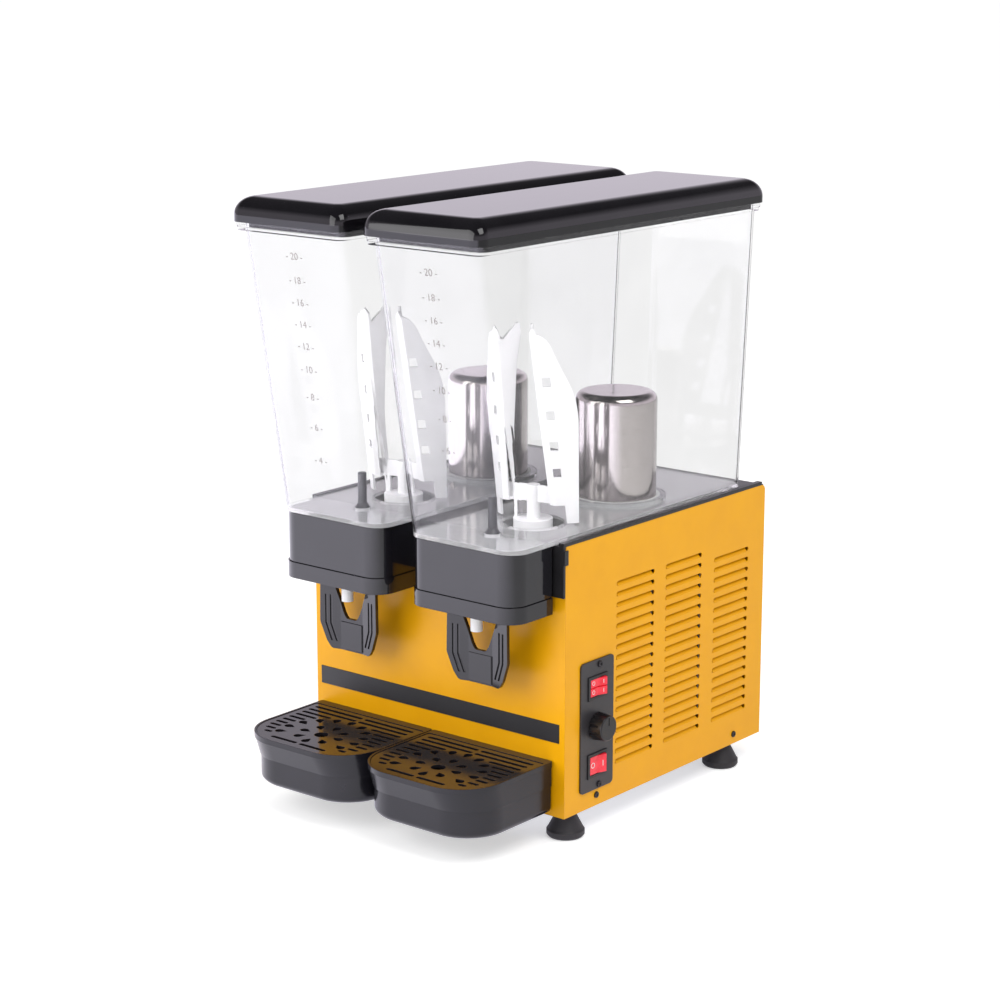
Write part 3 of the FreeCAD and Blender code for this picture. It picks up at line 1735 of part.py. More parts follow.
def fan_blades():
    """Fan wheel: hub, twisted-in blades and the shaft end in the motor."""
    y, z = fan_axis()
    face = condenser_x - 0.1 - shroud_depth
    front = face - fan_motor_gap
    x0 = front + 1.5
    hub = rod(V(x0, 0, 0), V(x0 + 15, 0, 0), fan_hub_radius)
    blades = []
    for k in range(fan_blade_count):
        blade = box(-9, 9, -22, 22, fan_hub_radius - 4, fan_radius)
        thin = box(-0.75, 0.75, -22, 22, fan_hub_radius - 4, fan_radius)
        thin.rotate(V(0, 0, 0), UP, 62)
        thin = thin.common(blade)
        thin = thin.common(rod(V(-9, 0, 0), V(9, 0, 0), fan_radius))
        thin.translate(V(x0 + 9.5, 0, 0))
        thin.rotate(V(0, 0, 0), V(1, 0, 0), 360 / fan_blade_count * k)
        blades.append(thin)
    shaft = rod(V(front - 17, 0, 0), V(x0 + 2, 0, 0), fan_shaft_radius)
    body = join([hub, shaft] + blades)
    body.translate(V(0, y, z))
    return body


def pipe(points, radius, bend):
    """Round copper tube along straight runs joined by tangent bends."""
    edges = []
    last = points[0]
    for before, corner, after in zip(points[:-2], points[1:-1], points[2:]):
        back = (before - corner).normalize()
        on = (after - corner).normalize()
        half = math.acos(max(-1.0, min(1.0, back.dot(on)))) / 2
        cut = bend / math.tan(half)
        start = corner + back * cut
        end = corner + on * cut
        centre = corner + (back + on).normalize() * (bend / math.sin(half))
        middle = centre + (corner - centre).normalize() * bend
        edges.append(Part.LineSegment(last, start).toShape())
        edges.append(Part.Arc(start, middle, end).toShape())
        last = end
    edges.append(Part.LineSegment(last, points[-1]).toShape())
    spine = Part.Wire(edges)
    ring = Part.Wire([Part.makeCircle(radius, points[0], points[1] - points[0])])
    body = spine.makePipeShell([ring], True, False)
    length = sum(e.Length for e in edges)
    area = math.pi * radius * radius
    assert abs(body.Volume / (area * length) - 1) < 0.02
    return body


def drier_site():
    return 40.0, cabinet_depth - 26.0, base_z + 62.0


def filter_drier():
    x, y, z = drier_site()
    body = post(x, y, z, z + drier_length, drier_radius)
    ends = [e for e in body.Edges if e.Closed and e.BoundBox.ZLength < 0.01]
    body = body.makeFillet(drier_radius * 0.7, ends)
    clip = box(x - 4, x + 4, y + drier_radius - 2, cabinet_depth - sheet, z + 30, z + 42)
    return carve(join([body, clip]), pipe_sockets())


def pipe_routes():
    """Corner points of the discharge, liquid, crossover and suction pipes."""
    tube_x = condenser_x + condenser_thickness / 2
    low = base_z + condenser_bottom
    step = condenser_height / condenser_tube_rows
    top_tube = low + condenser_height - step / 2
    low_tube = low + step / 2
    end_y = condenser_rear + 6
    turn_y = cabinet_depth - 22
    can_y = compressor_y + compressor_radius
    can_z = base_z + sheet + grommet_height + compressor_plate_thickness - 1
    side_z = can_z + 110
    drier_x, drier_y, drier_z = drier_site()
    dome_x = tank_pitch / 2
    ring = dome_radius - dome_wall - jacket_gap - jacket_wall / 2
    jacket_low = deck_bottom + jacket_lift
    side_x = -half_width + 12
    return [
        [
            V(compressor_x, can_y - 4, side_z),
            V(compressor_x, turn_y, side_z),
            V(compressor_x, turn_y, pipe_level - 24),
            V(tube_x, turn_y, pipe_level - 24),
            V(tube_x, turn_y, top_tube),
            V(tube_x, end_y - 3, top_tube),
        ],
        [
            V(tube_x, end_y - 3, low_tube),
            V(tube_x, drier_y, low_tube),
            V(drier_x, drier_y, low_tube),
            V(drier_x, drier_y, drier_z + 3),
        ],
        [
            V(drier_x, drier_y, drier_z + drier_length - 3),
            V(drier_x, drier_y, pipe_level),
            V(drier_x, dome_y + ring, pipe_level),
            V(dome_x, dome_y + ring, pipe_level),
            V(dome_x, dome_y + ring, jacket_low),
        ],
        [
            V(dome_x, dome_y - ring, jacket_low),
            V(dome_x, dome_y - ring, pipe_level),
            V(-dome_x, dome_y - ring, pipe_level),
            V(-dome_x, dome_y - ring, jacket_low),
        ],
        [
            V(-dome_x, dome_y + ring, jacket_low),
            V(-dome_x, dome_y + ring, pipe_level),
            V(side_x, dome_y + ring, pipe_level),
            V(side_x, dome_y + ring, side_z),
            V(compressor_x - compressor_radius + 7, dome_y + ring, side_z),
        ],
    ]


def pipe_sockets():
    """Room for each pipe's ends in the pieces that they are brazed into."""
    sockets = []
    for route in pipe_routes():
        for end, inner in ((route[0], route[1]), (route[-1], route[-2])):
            run = (inner - end).normalize()
            sockets.append(rod(end, end + run * 12, pipe_radius + running_fit))
    return sockets


def refrigerant_pipes():
    return [pipe(route, pipe_radius, pipe_bend) for route in pipe_routes()]


def placed(shape, x):
    moved = shape.copy()
    moved.translate(V(x, 0, 0))
    return moved


def placed_all(shapes, x):
    return [placed(shape, x) for shape in shapes]


def build_cabinet():
    save("base_pan", base_pan())
    save("front_panel", front_panel())
    save("side_panel_left", side_panel(-1))
    save("side_panel_right", side_panel(1))
    save("rear_panel", rear_panel())
    save("top_deck", top_deck())
    save("front_strip", front_strip())
    save("case_screws", *[screw_shapes(seat, outward) for seat, outward in all_screws()])
    save("control_plate", control_plate())
    save("switch_frames", *switch_frames())
    save("thermostat_body", thermostat_body())
    save("thermostat_knob", thermostat_knob())
    for name, y, z, height in rocker_centres():
        save(name, rocker(y, z, height))
    save("power_inlet", power_inlet())
    for name, x, y in feet_sites():
        save("foot_" + name, foot(x, y))


def build_cold_unit():
    save("compressor", compressor())
    save("compressor_grommets", *[grommet(x, y) for x, y in grommet_sites()])
    save("condenser", condenser())
    save("fan_shroud", fan_shroud())
    save("fan_motor", fan_motor())
    save("fan_blades", fan_blades())
    save("filter_drier", filter_drier())
    save("refrigerant_pipes", *refrigerant_pipes())


def build_tanks():
    middles = [side * tank_pitch / 2 for side in sides.values()]
    save("evaporator_domes", *[placed(dome(), x) for x in middles])
    save("cooling_jackets", *[placed(cooling_jacket(), x) for x in middles])
    save("gearmotors", *[placed(gearmotor(), x) for x in middles])
    save("shaft_bushes", *[placed(shaft_bush(), x) for x in middles])
    save("motor_shelf", motor_shelf())
    pieces = {
        "tank": [tank()],
        "tank_seals": tank_seals(),
        "lid": [lid()],
        "paddle": [paddle()],
        "drive_shaft": [drive_shaft()],
        "tap_cover": [tap_cover()],
        "tap_cover_band": [tap_cover_band()],
        "tap_body": [tap_body()],
        "tap_lever": [tap_lever()],
        "tap_plunger": [tap_plunger()],
        "tap_spring": [tap_spring()],
    }
    for name, side in sides.items():
        for node, shapes in pieces.items():
            save(node + "_" + name, *placed_all(shapes, side * tank_pitch / 2))


def build_trays():
    tray = drip_tray()
    grille = drip_grille()
    bracket = tray_bracket()
    brackets = []
    for name, side in sides.items():
        x = side * tray_pitch / 2 + tray_shift
        save("drip_tray_" + name, placed(tray, x))
        save("drip_grille_" + name, placed(grille, x))
        brackets.append(placed(bracket, x))
    save("tray_brackets", *brackets)


os.makedirs("parts", exist_ok=True)
build_cabinet()
build_cold_unit()
build_tanks()
build_trays()
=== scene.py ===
# %% [markdown]
# # A twin-tank drink dispenser
# The machine stands on a counter: two clear tanks of cold drink over a louvred yellow cabinet.
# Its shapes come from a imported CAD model. This lesson loads that model as a fixed frame, gives
# every piece the finish of its real material, and adds what CAD left plain.

# %%  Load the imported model
import json
import math
import bpy
import bmesh
from mathutils import Matrix, Vector


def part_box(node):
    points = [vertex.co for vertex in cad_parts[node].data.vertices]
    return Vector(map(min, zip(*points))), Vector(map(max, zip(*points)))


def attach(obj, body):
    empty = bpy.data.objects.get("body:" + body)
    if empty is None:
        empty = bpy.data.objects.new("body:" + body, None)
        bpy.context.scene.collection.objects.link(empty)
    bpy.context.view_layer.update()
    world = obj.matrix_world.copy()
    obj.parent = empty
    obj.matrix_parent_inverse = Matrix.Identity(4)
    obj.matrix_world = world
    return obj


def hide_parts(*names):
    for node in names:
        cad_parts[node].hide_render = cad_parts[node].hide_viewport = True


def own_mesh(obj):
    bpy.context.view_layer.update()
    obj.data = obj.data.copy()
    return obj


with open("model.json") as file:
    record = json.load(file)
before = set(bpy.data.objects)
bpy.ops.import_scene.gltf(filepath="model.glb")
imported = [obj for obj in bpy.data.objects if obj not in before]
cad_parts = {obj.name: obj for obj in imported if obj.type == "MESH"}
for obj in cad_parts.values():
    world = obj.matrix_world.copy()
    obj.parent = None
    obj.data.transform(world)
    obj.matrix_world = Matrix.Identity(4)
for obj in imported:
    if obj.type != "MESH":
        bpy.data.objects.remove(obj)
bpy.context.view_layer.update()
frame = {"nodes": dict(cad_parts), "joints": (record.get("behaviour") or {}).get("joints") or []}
nodes = frame["nodes"]
MM = 0.001
SIDES = ("left", "right")

# %% [markdown]
# ## The camera
# The photograph was taken from the front right, a little above the lids, with a long lens. The
# place and the lens were solved from the cabinet's edges, so the render lines up with it. A
# long lens keeps upright edges nearly parallel, which is why it sits almost three metres away.
# The camera, the lamps and the added pieces enter the scene in the same way, so one helper does
# that for all of them, and another turns a camera or a lamp towards its subject.

# %%  Camera
# Places and the far limit are in metres, the lens and its sensor in millimetres.
CAMERA_PLACE = Vector((1.7229, -2.1305, 0.9871))
CAMERA_AIM = Vector((-0.0629, 0.0615, 0.3130))
FAR_LIMIT = 200.0
LENS = 90.256
SENSOR = 36.0


def in_scene(name, data):
    """A new object that holds this data, linked to the scene."""
    thing = bpy.data.objects.new(name, data)
    bpy.context.scene.collection.objects.link(thing)
    return thing


def looking_at(place, aim):
    """The rotation of a camera or a lamp at one place that looks at another."""
    return (Vector(aim) - Vector(place)).to_track_quat("-Z", "Y").to_euler()


camera_data = bpy.data.cameras.new("photo_camera")
camera_data.lens = LENS
camera_data.sensor_width = SENSOR
camera_data.clip_end = FAR_LIMIT
camera = in_scene("photo_camera", camera_data)
camera.location = CAMERA_PLACE
camera.rotation_euler = looking_at(CAMERA_PLACE, CAMERA_AIM)
bpy.context.scene.camera = camera
print("camera distance:", round((CAMERA_AIM - CAMERA_PLACE).length, 3), "m")

# %% [markdown]
# ## Tools for finishes
# A finish is a small graph of shader nodes. A paint chart gives its colours in hex and Blender
# works in linear light, so one function turns the first into the second. One helper adds any
# node with its options and links, which keeps each finish short enough to read as a recipe.

# %%  Colour and nodes
def linear(hex_text):
    """Linear RGBA of an sRGB hex colour such as "F5A816"."""
    parts = [int(hex_text[i:i + 2], 16) / 255 for i in (0, 2, 4)]
    out = [c / 12.92 if c <= 0.04045 else ((c + 0.055) / 1.055) ** 2.4 for c in parts]
    return (*out, 1.0)


def add_node(tree, kind, links=None, values=None, stops=(), **settings):
    """Add one shader node: settings are its own options, values and links its sockets.

    A colour ramp also has stops, each a position and a hex colour.
    """
    node = tree.nodes.new(kind)
    for name, value in settings.items():
        setattr(node, name, value)
    for key, value in (values or {}).items():
        node.inputs[key].default_value = value
    for key, source in (links or {}).items():
        tree.links.new(source, node.inputs[key])
    for i, (position, hex_text) in enumerate(stops):
        node.color_ramp.elements[i].position = position
        node.color_ramp.elements[i].color = linear(hex_text)
    return node


print("half-way grey, hex 808080, in linear light:", round(linear("808080")[0], 3))

# %% [markdown]
# ## How a finish begins
# Every finish begins alike: an output, the Principled shader, and the object's own coordinates,
# on which its patterns lie. A pattern's size is given in millimetres, as a maker measures it.

# %%  An empty finish and the size of a pattern
def new_finish(name, values):
    """An empty material, its tree, its Principled shader and the object coordinates.

    The values are those of the shader's sockets that are the same all over the surface.
    """
    material = bpy.data.materials.new(name)
    material.use_nodes = True
    tree = material.node_tree
    tree.nodes.clear()
    output = add_node(tree, "ShaderNodeOutputMaterial")
    shader = add_node(tree, "ShaderNodeBsdfPrincipled", values=values)
    tree.links.new(shader.outputs["BSDF"], output.inputs["Surface"])
    place = add_node(tree, "ShaderNodeTexCoord")
    return material, tree, shader, place.outputs["Object"]


def per_metre(size_mm):
    """Texture scale at which one cell of a pattern is this many millimetres across."""
    return 1.0 / (size_mm * MM)


print("texture scale of a pattern of 10 mm:", round(per_metre(10), 3))

# %% [markdown]
# ## Moulded and painted finishes
# Powder coat, ABS and polypropylene are all dielectrics with an IOR near 1.5. What tells them
# apart is how the surface was made: powder flows into a faint orange peel, a spark-eroded mould
# leaves a fine grit, and a polished mould leaves gloss. One recipe takes those sizes: a slow
# mottle for the tone and the roughness, a fine grit for the bump, and rounded edges, because no
# moulded or folded edge is knife sharp. A mould's real grit is under a tenth of a millimetre.
# That is too fine to show from here, so it is drawn at half a millimetre and more.

# %%  The recipe for moulded and painted parts
MOTTLE_MM = 45
GRIT_DEPTH_MM = 0.1
EDGE_SAMPLES = 4
# Most values of a noise texture lie between these two.
NOISE_LOW = 0.3
NOISE_HIGH = 0.7
# The colour goes from the one tone to the other between these.
TONE_LOW = 0.35
TONE_HIGH = 0.65


def coated(name, low_hex, high_hex, grit_mm, bump, rough_low, rough_high, edge_mm=0.6, ior=1.5,
           specular=0.5):
    """A finish that drifts between two tones and two roughnesses over a fine grit."""
    material, tree, shader, place = new_finish(name, {"IOR": ior,
                                                      "Specular IOR Level": specular})
    mottle = add_node(tree, "ShaderNodeTexNoise", links={"Vector": place},
                      values={"Scale": per_metre(MOTTLE_MM), "Detail": 4.0, "Roughness": 0.6})
    grit = add_node(tree, "ShaderNodeTexNoise", links={"Vector": place},
                    values={"Scale": per_metre(grit_mm), "Detail": 2.0})
    colour = add_node(tree, "ShaderNodeValToRGB", links={"Fac": mottle.outputs["Fac"]},
                      stops=((TONE_LOW, low_hex), (TONE_HIGH, high_hex)))
    wear = add_node(tree, "ShaderNodeMapRange", links={"Value": mottle.outputs["Fac"]},
                    values={"From Min": NOISE_LOW, "From Max": NOISE_HIGH,
                            "To Min": rough_low, "To Max": rough_high})
    rounded = add_node(tree, "ShaderNodeBevel", samples=EDGE_SAMPLES,
                       values={"Radius": edge_mm * MM})
    relief = add_node(tree, "ShaderNodeBump",
                      links={"Height": grit.outputs["Fac"], "Normal": rounded.outputs["Normal"]},
                      values={"Strength": bump, "Distance": GRIT_DEPTH_MM * MM})
    tree.links.new(colour.outputs["Color"], shader.inputs["Base Color"])
    tree.links.new(wear.outputs["Result"], shader.inputs["Roughness"])
    tree.links.new(relief.outputs["Normal"], shader.inputs["Normal"])
    return material


print("mottle:", MOTTLE_MM, "mm, depth of the grit:", GRIT_DEPTH_MM, "mm")

# %% [markdown]
# ## The paints, plastics and rubbers
# Each call gives a finish its two tones, the size of its grit in millimetres, the strength of
# its bump and the two ends of its roughness. The comment over it says what the eye gets.

# %%  Finishes from that recipe
# Powder baked on steel sheet: one strong even yellow with a soft broad shine.
powder_coat = coated("yellow powder coat", "F4AC00", "F8B102", 1.6, 0.08, 0.28, 0.36,
                     specular=0.3)
# ABS from an eroded mould: black, with blurred reflections of what stands on it.
deck_abs = coated("satin black ABS deck", "141315", "1B1A1C", 0.7, 0.25, 0.30, 0.40)
# ABS from a mirror-polished mould: a black mirror with sharp white edges.
lid_gloss = coated("gloss black ABS lid", "0D0C0F", "121114", 3.0, 0.02, 0.03, 0.06, edge_mm=1.0)
# The same, less polished: long bright reflections with soft ends.
tap_gloss = coated("polished black ABS tap", "17161A", "1D1C21", 1.2, 0.03, 0.06, 0.11,
                   edge_mm=0.8)
# ABS from a finely blasted mould: a grey sheen on the faces that look up.
tray_abs = coated("satin black ABS tray", "15141A", "1B1A21", 0.8, 0.15, 0.16, 0.26,
                  specular=0.4)
# ABS from a polished mould: thin bright lines along the bars.
grille_gloss = coated("gloss black ABS grille", "1A171A", "211E21", 1.0, 0.08, 0.10, 0.17)
# Acetal is waxy: a clean white with a soft highlight.
white_acetal = coated("white acetal", "EFEEF0", "F6F5F7", 1.5, 0.08, 0.28, 0.40)
# The same in a dark tone: a blunt grey highlight.
plunger_acetal = coated("dark acetal plunger", "19191B", "222224", 0.8, 0.15, 0.28, 0.4)
# Plastic film with a matt face: flat black, with no reflections to read.
foil = coated("matt black foil", "0C0B0C", "121112", 0.6, 0.15, 0.42, 0.52, edge_mm=0.2)
# Grained plastic: a dark grey, lighter than the parts set in it.
plate_abs = coated("dark control plate", "2A282B", "333134", 0.5, 0.3, 0.34, 0.44)
# Nylon with a fine grain: dull black, paler only along its edges.
switch_nylon = coated("black nylon switch case", "121213", "19191A", 0.6, 0.25, 0.36, 0.46)
# Pressed phenolic: hard black with a short highlight on each rib.
knob_phenolic = coated("black phenolic knob", "100E10", "191719", 0.6, 0.2, 0.28, 0.40)
# Rubber scatters light at its skin: a dusty dark grey.
foot_rubber = coated("black rubber foot", "232124", "2E2C2F", 0.9, 0.4, 0.50, 0.65, ior=1.52)
# Silicone is pale and dull, like wax under dust.
seal_silicone = coated("grey silicone seal", "BDBEBE", "CACBCB", 1.0, 0.1, 0.45, 0.6, ior=1.41)
# Enamel baked on pressed steel: black with a clear round highlight.
enamel = coated("black enamel", "0E0E0E", "151515", 1.4, 0.2, 0.2, 0.32)
# Polypropylene: black with a greasy, even shine.
fan_polypropylene = coated("black polypropylene fan", "161616", "1E1E1E", 0.8, 0.2, 0.35, 0.5)
print("moulded and painted finishes:", len(bpy.data.materials))

# %% [markdown]
# ## Clear tank
# The tanks are injection-moulded polycarbonate, polished on both faces. Its IOR is near 1.585, but
# a thin wall bends the light back on its far face, so what stands behind it hardly moves. The
# mesh's corners have small facets, which a high IOR would turn into jagged steps. So the body of
# the wall bends very little, and a clear coat with the real IOR gives it its gloss. Seen edge on,
# a real wall mirrors the dark room around it and shows a grey outline. Here that is a painted
# shade, which greys the wall's colour as the angle grows glancing. A path tracer's lamps can't
# shine through a bending wall, so for shadow rays alone the wall is a clear film. The tank's floor
# is grained by the mould and rubbed by washing, so it scatters some of the light.

# %%  Polycarbonate
POLYCARBONATE_IOR = 1.585
WALL_IOR = 1.08
# Where the painted shade starts to darken the wall at a glancing angle, and where it is darkest.
OUTLINE_START = 0.66
OUTLINE_FULL = 0.96
# A faint cloud in the plastic, and the rub marks on the floor, drawn out from front to back.
HAZE_MM = 60
STREAK_MM = 9
STREAK_STRETCH = 0.08
# The tank floor's height in metres, and the millimetres above it between which its grain fades.
TANK_FLOOR_Z = 0.3354
GRAIN_FULL_MM = 0.3
GRAIN_GONE_MM = 1.5
FLOOR_CLEAR = 0.84
FLOOR_ROUGH = (0.04, 0.16)


def polycarbonate(name):
    """Clear plastic with a gloss coat, a painted grey shade edge on, and a grained floor."""
    material, tree, shader, place = new_finish(
        name, {"IOR": WALL_IOR, "Coat Weight": 0.35, "Coat IOR": POLYCARBONATE_IOR,
               "Coat Roughness": 0.02})
    haze = add_node(tree, "ShaderNodeTexNoise", links={"Vector": place},
                    values={"Scale": per_metre(HAZE_MM), "Detail": 3.0})
    streak_place = add_node(tree, "ShaderNodeMapping", links={"Vector": place},
                            values={"Scale": (1.0, STREAK_STRETCH, 1.0)})
    streaks = add_node(tree, "ShaderNodeTexNoise", links={"Vector": streak_place.outputs["Vector"]},
                       values={"Scale": per_metre(STREAK_MM), "Detail": 3.0})
    height = add_node(tree, "ShaderNodeSeparateXYZ", links={"Vector": place})
    on_floor = add_node(tree, "ShaderNodeMapRange", links={"Value": height.outputs["Z"]},
                        values={"From Min": TANK_FLOOR_Z + GRAIN_GONE_MM * MM,
                                "From Max": TANK_FLOOR_Z + GRAIN_FULL_MM * MM,
                                "To Min": 0.0, "To Max": 1.0})
    floor_gloss = add_node(tree, "ShaderNodeMapRange", links={"Value": streaks.outputs["Fac"]},
                           values={"From Min": NOISE_LOW, "From Max": NOISE_HIGH,
                                   "To Min": FLOOR_ROUGH[0], "To Max": FLOOR_ROUGH[1]})
    gloss = add_node(tree, "ShaderNodeMath", operation="MULTIPLY",
                     links={0: floor_gloss.outputs["Result"], 1: on_floor.outputs["Result"]})
    clear = add_node(tree, "ShaderNodeMapRange", links={"Value": on_floor.outputs["Result"]},
                     values={"From Min": 0.0, "From Max": 1.0, "To Min": 1.0,
                             "To Max": FLOOR_CLEAR})
    tint = add_node(tree, "ShaderNodeValToRGB", links={"Fac": haze.outputs["Fac"]},
                    stops=((TONE_LOW, "FDFDFD"), (TONE_HIGH, "FBFBFB")))
    # Painted shade: the wall's colour turns grey as it is seen more edge on, except on the tank's
    # floor.
    edge_on = add_node(tree, "ShaderNodeLayerWeight", values={"Blend": 0.5})
    painted_edge_shade = add_node(tree, "ShaderNodeValToRGB", links={"Fac": edge_on.outputs["Facing"]},
                         stops=((OUTLINE_START, "FFFFFF"), (OUTLINE_FULL, "66666E")))
    off_floor = add_node(tree, "ShaderNodeMath", operation="SUBTRACT", values={0: 1.0},
                         links={1: on_floor.outputs["Result"]})
    shade = add_node(tree, "ShaderNodeMix", data_type="RGBA", blend_type="MULTIPLY",
                     links={0: off_floor.outputs["Value"], 6: tint.outputs["Color"],
                            7: painted_edge_shade.outputs["Color"]})
    tree.links.new(shade.outputs[2], shader.inputs["Base Color"])
    tree.links.new(gloss.outputs["Value"], shader.inputs["Roughness"])
    tree.links.new(clear.outputs["Result"], shader.inputs["Transmission Weight"])
    film = add_node(tree, "ShaderNodeBsdfTransparent", values={"Color": linear("F2F2F4")})
    ray = add_node(tree, "ShaderNodeLightPath")
    pick = add_node(tree, "ShaderNodeMixShader",
                    links={0: ray.outputs["Is Shadow Ray"], 1: shader.outputs["BSDF"],
                           2: film.outputs["BSDF"]})
    output = next(n for n in tree.nodes if n.type == "OUTPUT_MATERIAL")
    tree.links.new(pick.outputs["Shader"], output.inputs["Surface"])
    return material


clear_tank = polycarbonate("clear polycarbonate")
print("clear plastic:", len(clear_tank.node_tree.nodes), "nodes, wall IOR", WALL_IOR)

# %% [markdown]
# ## Metals
# A metal's colour is its reflection, so its two tones are bright and what differs is the trace
# of the tool: lines run round a part from the lathe, along a rolled sheet, and nowhere on a
# casting or a plated sheet. One recipe draws that trace by stretching a fine noise. Real grind
# lines are a few hundredths of a millimetre wide. They are drawn coarser, so that they show.

# %%  The recipe for metals
METAL_EDGE_MM = 0.4
LINE_DEPTH_MM = 0.05
# How densely the noise is packed along x, y and z: a small number stretches it into lines.
NO_LINES = (1.0, 1.0, 1.0)
LATHE_LINES = (0.02, 0.02, 1.0)
ROLLED_LINES = (1.0, 0.03, 0.03)


def metal(name, low_hex, high_hex, rough_low, rough_high, line_mm, along=NO_LINES, bump=0.15):
    """A bare metal whose tone, roughness and relief follow the tool's lines."""
    material, tree, shader, place = new_finish(name, {"Metallic": 1.0})
    stretch = add_node(tree, "ShaderNodeMapping", links={"Vector": place},
                       values={"Scale": along})
    lines = add_node(tree, "ShaderNodeTexNoise", links={"Vector": stretch.outputs["Vector"]},
                     values={"Scale": per_metre(line_mm), "Detail": 3.0})
    colour = add_node(tree, "ShaderNodeValToRGB", links={"Fac": lines.outputs["Fac"]},
                      stops=((NOISE_LOW, low_hex), (NOISE_HIGH, high_hex)))
    rough = add_node(tree, "ShaderNodeMapRange", links={"Value": lines.outputs["Fac"]},
                     values={"From Min": NOISE_LOW, "From Max": NOISE_HIGH,
                             "To Min": rough_low, "To Max": rough_high})
    rounded = add_node(tree, "ShaderNodeBevel", samples=EDGE_SAMPLES,
                       values={"Radius": METAL_EDGE_MM * MM})
    relief = add_node(tree, "ShaderNodeBump",
                      links={"Height": lines.outputs["Fac"],
                             "Normal": rounded.outputs["Normal"]},
                      values={"Strength": bump, "Distance": LINE_DEPTH_MM * MM})
    tree.links.new(colour.outputs["Color"], shader.inputs["Base Color"])
    tree.links.new(rough.outputs["Result"], shader.inputs["Roughness"])
    tree.links.new(relief.outputs["Normal"], shader.inputs["Normal"])
    return material


# Deep-drawn domes ground on a lathe: a soft upright glint, crossed by faint level lines.
dome_steel = metal("ground stainless steel", "AFA9A6", "C1BBB8", 0.11, 0.18, 0.25,
                   LATHE_LINES, 0.03)
# Turned steel: bright, with a glint drawn out by the tool's rings.
shaft_steel = metal("turned stainless steel", "C0BFBD", "D0CFCD", 0.18, 0.28, 0.4, LATHE_LINES)
# Zinc-plated sheet: an even blue-grey, a little cloudy.
zinc = metal("zinc plated steel", "B4B6B8", "C8CACC", 0.28, 0.42, 2.0)
# Rolled sheet and fins: pale and satin, with streaks along the roll.
aluminium = metal("rolled aluminium", "C8CACB", "D8DADB", 0.25, 0.38, 0.5, ROLLED_LINES)
# Die-cast housings: a dull grey with a skin like fine sand.
cast_grey = metal("die-cast aluminium", "8E9092", "A0A2A4", 0.38, 0.5, 1.2)
# Blackened screws: dark heads that still glint.
black_steel = metal("blackened steel screws", "3A383A", "4A484A", 0.32, 0.45, 1.0)
# Drawn pipe: warm red-brown with a soft line of light.
copper = metal("drawn copper", "B8734C", "C88259", 0.22, 0.34, 0.8)
# Pressed and sintered bushes: a dull brown-gold.
bronze = metal("sintered bronze", "9A7440", "AC8650", 0.35, 0.48, 0.5)
print("finishes with the metals:", len(bpy.data.materials))

# %% [markdown]
# ## Rockers
# The rockers are translucent red polycarbonate. Even with their lamps off, the light of the room
# enters them and comes back red, so they look brighter than a painted part does. Scattering
# that light inside so small a piece is slow and grainy. A faint red emission stands for it.

# %%  Red rocker
CLOUD_MM = 6
ROCKER_EDGE_MM = 0.5


def rocker_red():
    """Translucent red plastic that seems lit from within."""
    material, tree, shader, place = new_finish(
        "translucent red rocker", {"Emission Strength": 0.25, "Roughness": 0.18, "IOR": 1.58})
    cloud = add_node(tree, "ShaderNodeTexNoise", links={"Vector": place},
                     values={"Scale": per_metre(CLOUD_MM), "Detail": 2.0})
    colour = add_node(tree, "ShaderNodeValToRGB", links={"Fac": cloud.outputs["Fac"]},
                      stops=((TONE_LOW, "D8142A"), (TONE_HIGH, "EE2A3E")))
    glow = add_node(tree, "ShaderNodeValToRGB", links={"Fac": cloud.outputs["Fac"]},
                    stops=((TONE_LOW, "E0182C"), (TONE_HIGH, "F03044")))
    rounded = add_node(tree, "ShaderNodeBevel", samples=EDGE_SAMPLES,
                       values={"Radius": ROCKER_EDGE_MM * MM})
    tree.links.new(colour.outputs["Color"], shader.inputs["Base Color"])
    tree.links.new(glow.outputs["Color"], shader.inputs["Emission Color"])
    tree.links.new(rounded.outputs["Normal"], shader.inputs["Normal"])
    return material


red_rocker = rocker_red()
print("all finishes so far:", len(bpy.data.materials))

# %% [markdown]
# ## Give the CAD pieces their finishes
# Every CAD piece keeps its mesh, and only its material slot changes. One table says which piece
# is made of what, so that choice can be read in one place, and loops add the pieces that come
# in pairs or fours.

# %%  Which piece has which finish
finish_of = {
    "base_pan": zinc, "front_panel": powder_coat, "side_panel_left": powder_coat,
    "side_panel_right": powder_coat, "rear_panel": powder_coat, "top_deck": deck_abs,
    "front_strip": foil, "case_screws": black_steel, "control_plate": plate_abs,
    "switch_frames": switch_nylon, "thermostat_body": switch_nylon,
    "thermostat_knob": knob_phenolic, "main_rocker": red_rocker,
    "mixer_rocker_upper": red_rocker, "mixer_rocker_lower": red_rocker,
    "power_inlet": switch_nylon, "compressor": enamel, "compressor_grommets": foot_rubber,
    "condenser": aluminium, "fan_shroud": fan_polypropylene, "fan_motor": cast_grey,
    "fan_blades": fan_polypropylene, "filter_drier": copper, "refrigerant_pipes": copper,
    "evaporator_domes": dome_steel, "cooling_jackets": aluminium, "gearmotors": cast_grey,
    "shaft_bushes": bronze, "motor_shelf": zinc, "tray_brackets": zinc,
}
for corner in ("front_left", "front_right", "rear_left", "rear_right"):
    finish_of["foot_" + corner] = foot_rubber
for side in SIDES:
    finish_of.update({
        "tank_" + side: clear_tank, "tank_seals_" + side: seal_silicone,
        "lid_" + side: lid_gloss, "paddle_" + side: white_acetal,
        "drive_shaft_" + side: shaft_steel, "tap_cover_" + side: tap_gloss,
        "tap_cover_band_" + side: tap_gloss, "tap_body_" + side: white_acetal,
        "tap_lever_" + side: tap_gloss, "tap_plunger_" + side: plunger_acetal,
        "tap_spring_" + side: shaft_steel, "drip_tray_" + side: tray_abs,
        "drip_grille_" + side: grille_gloss,
    })
for name, piece in nodes.items():
    piece.data.materials.clear()
    piece.data.materials.append(finish_of[name])
print("pieces with a finish:", len(finish_of))

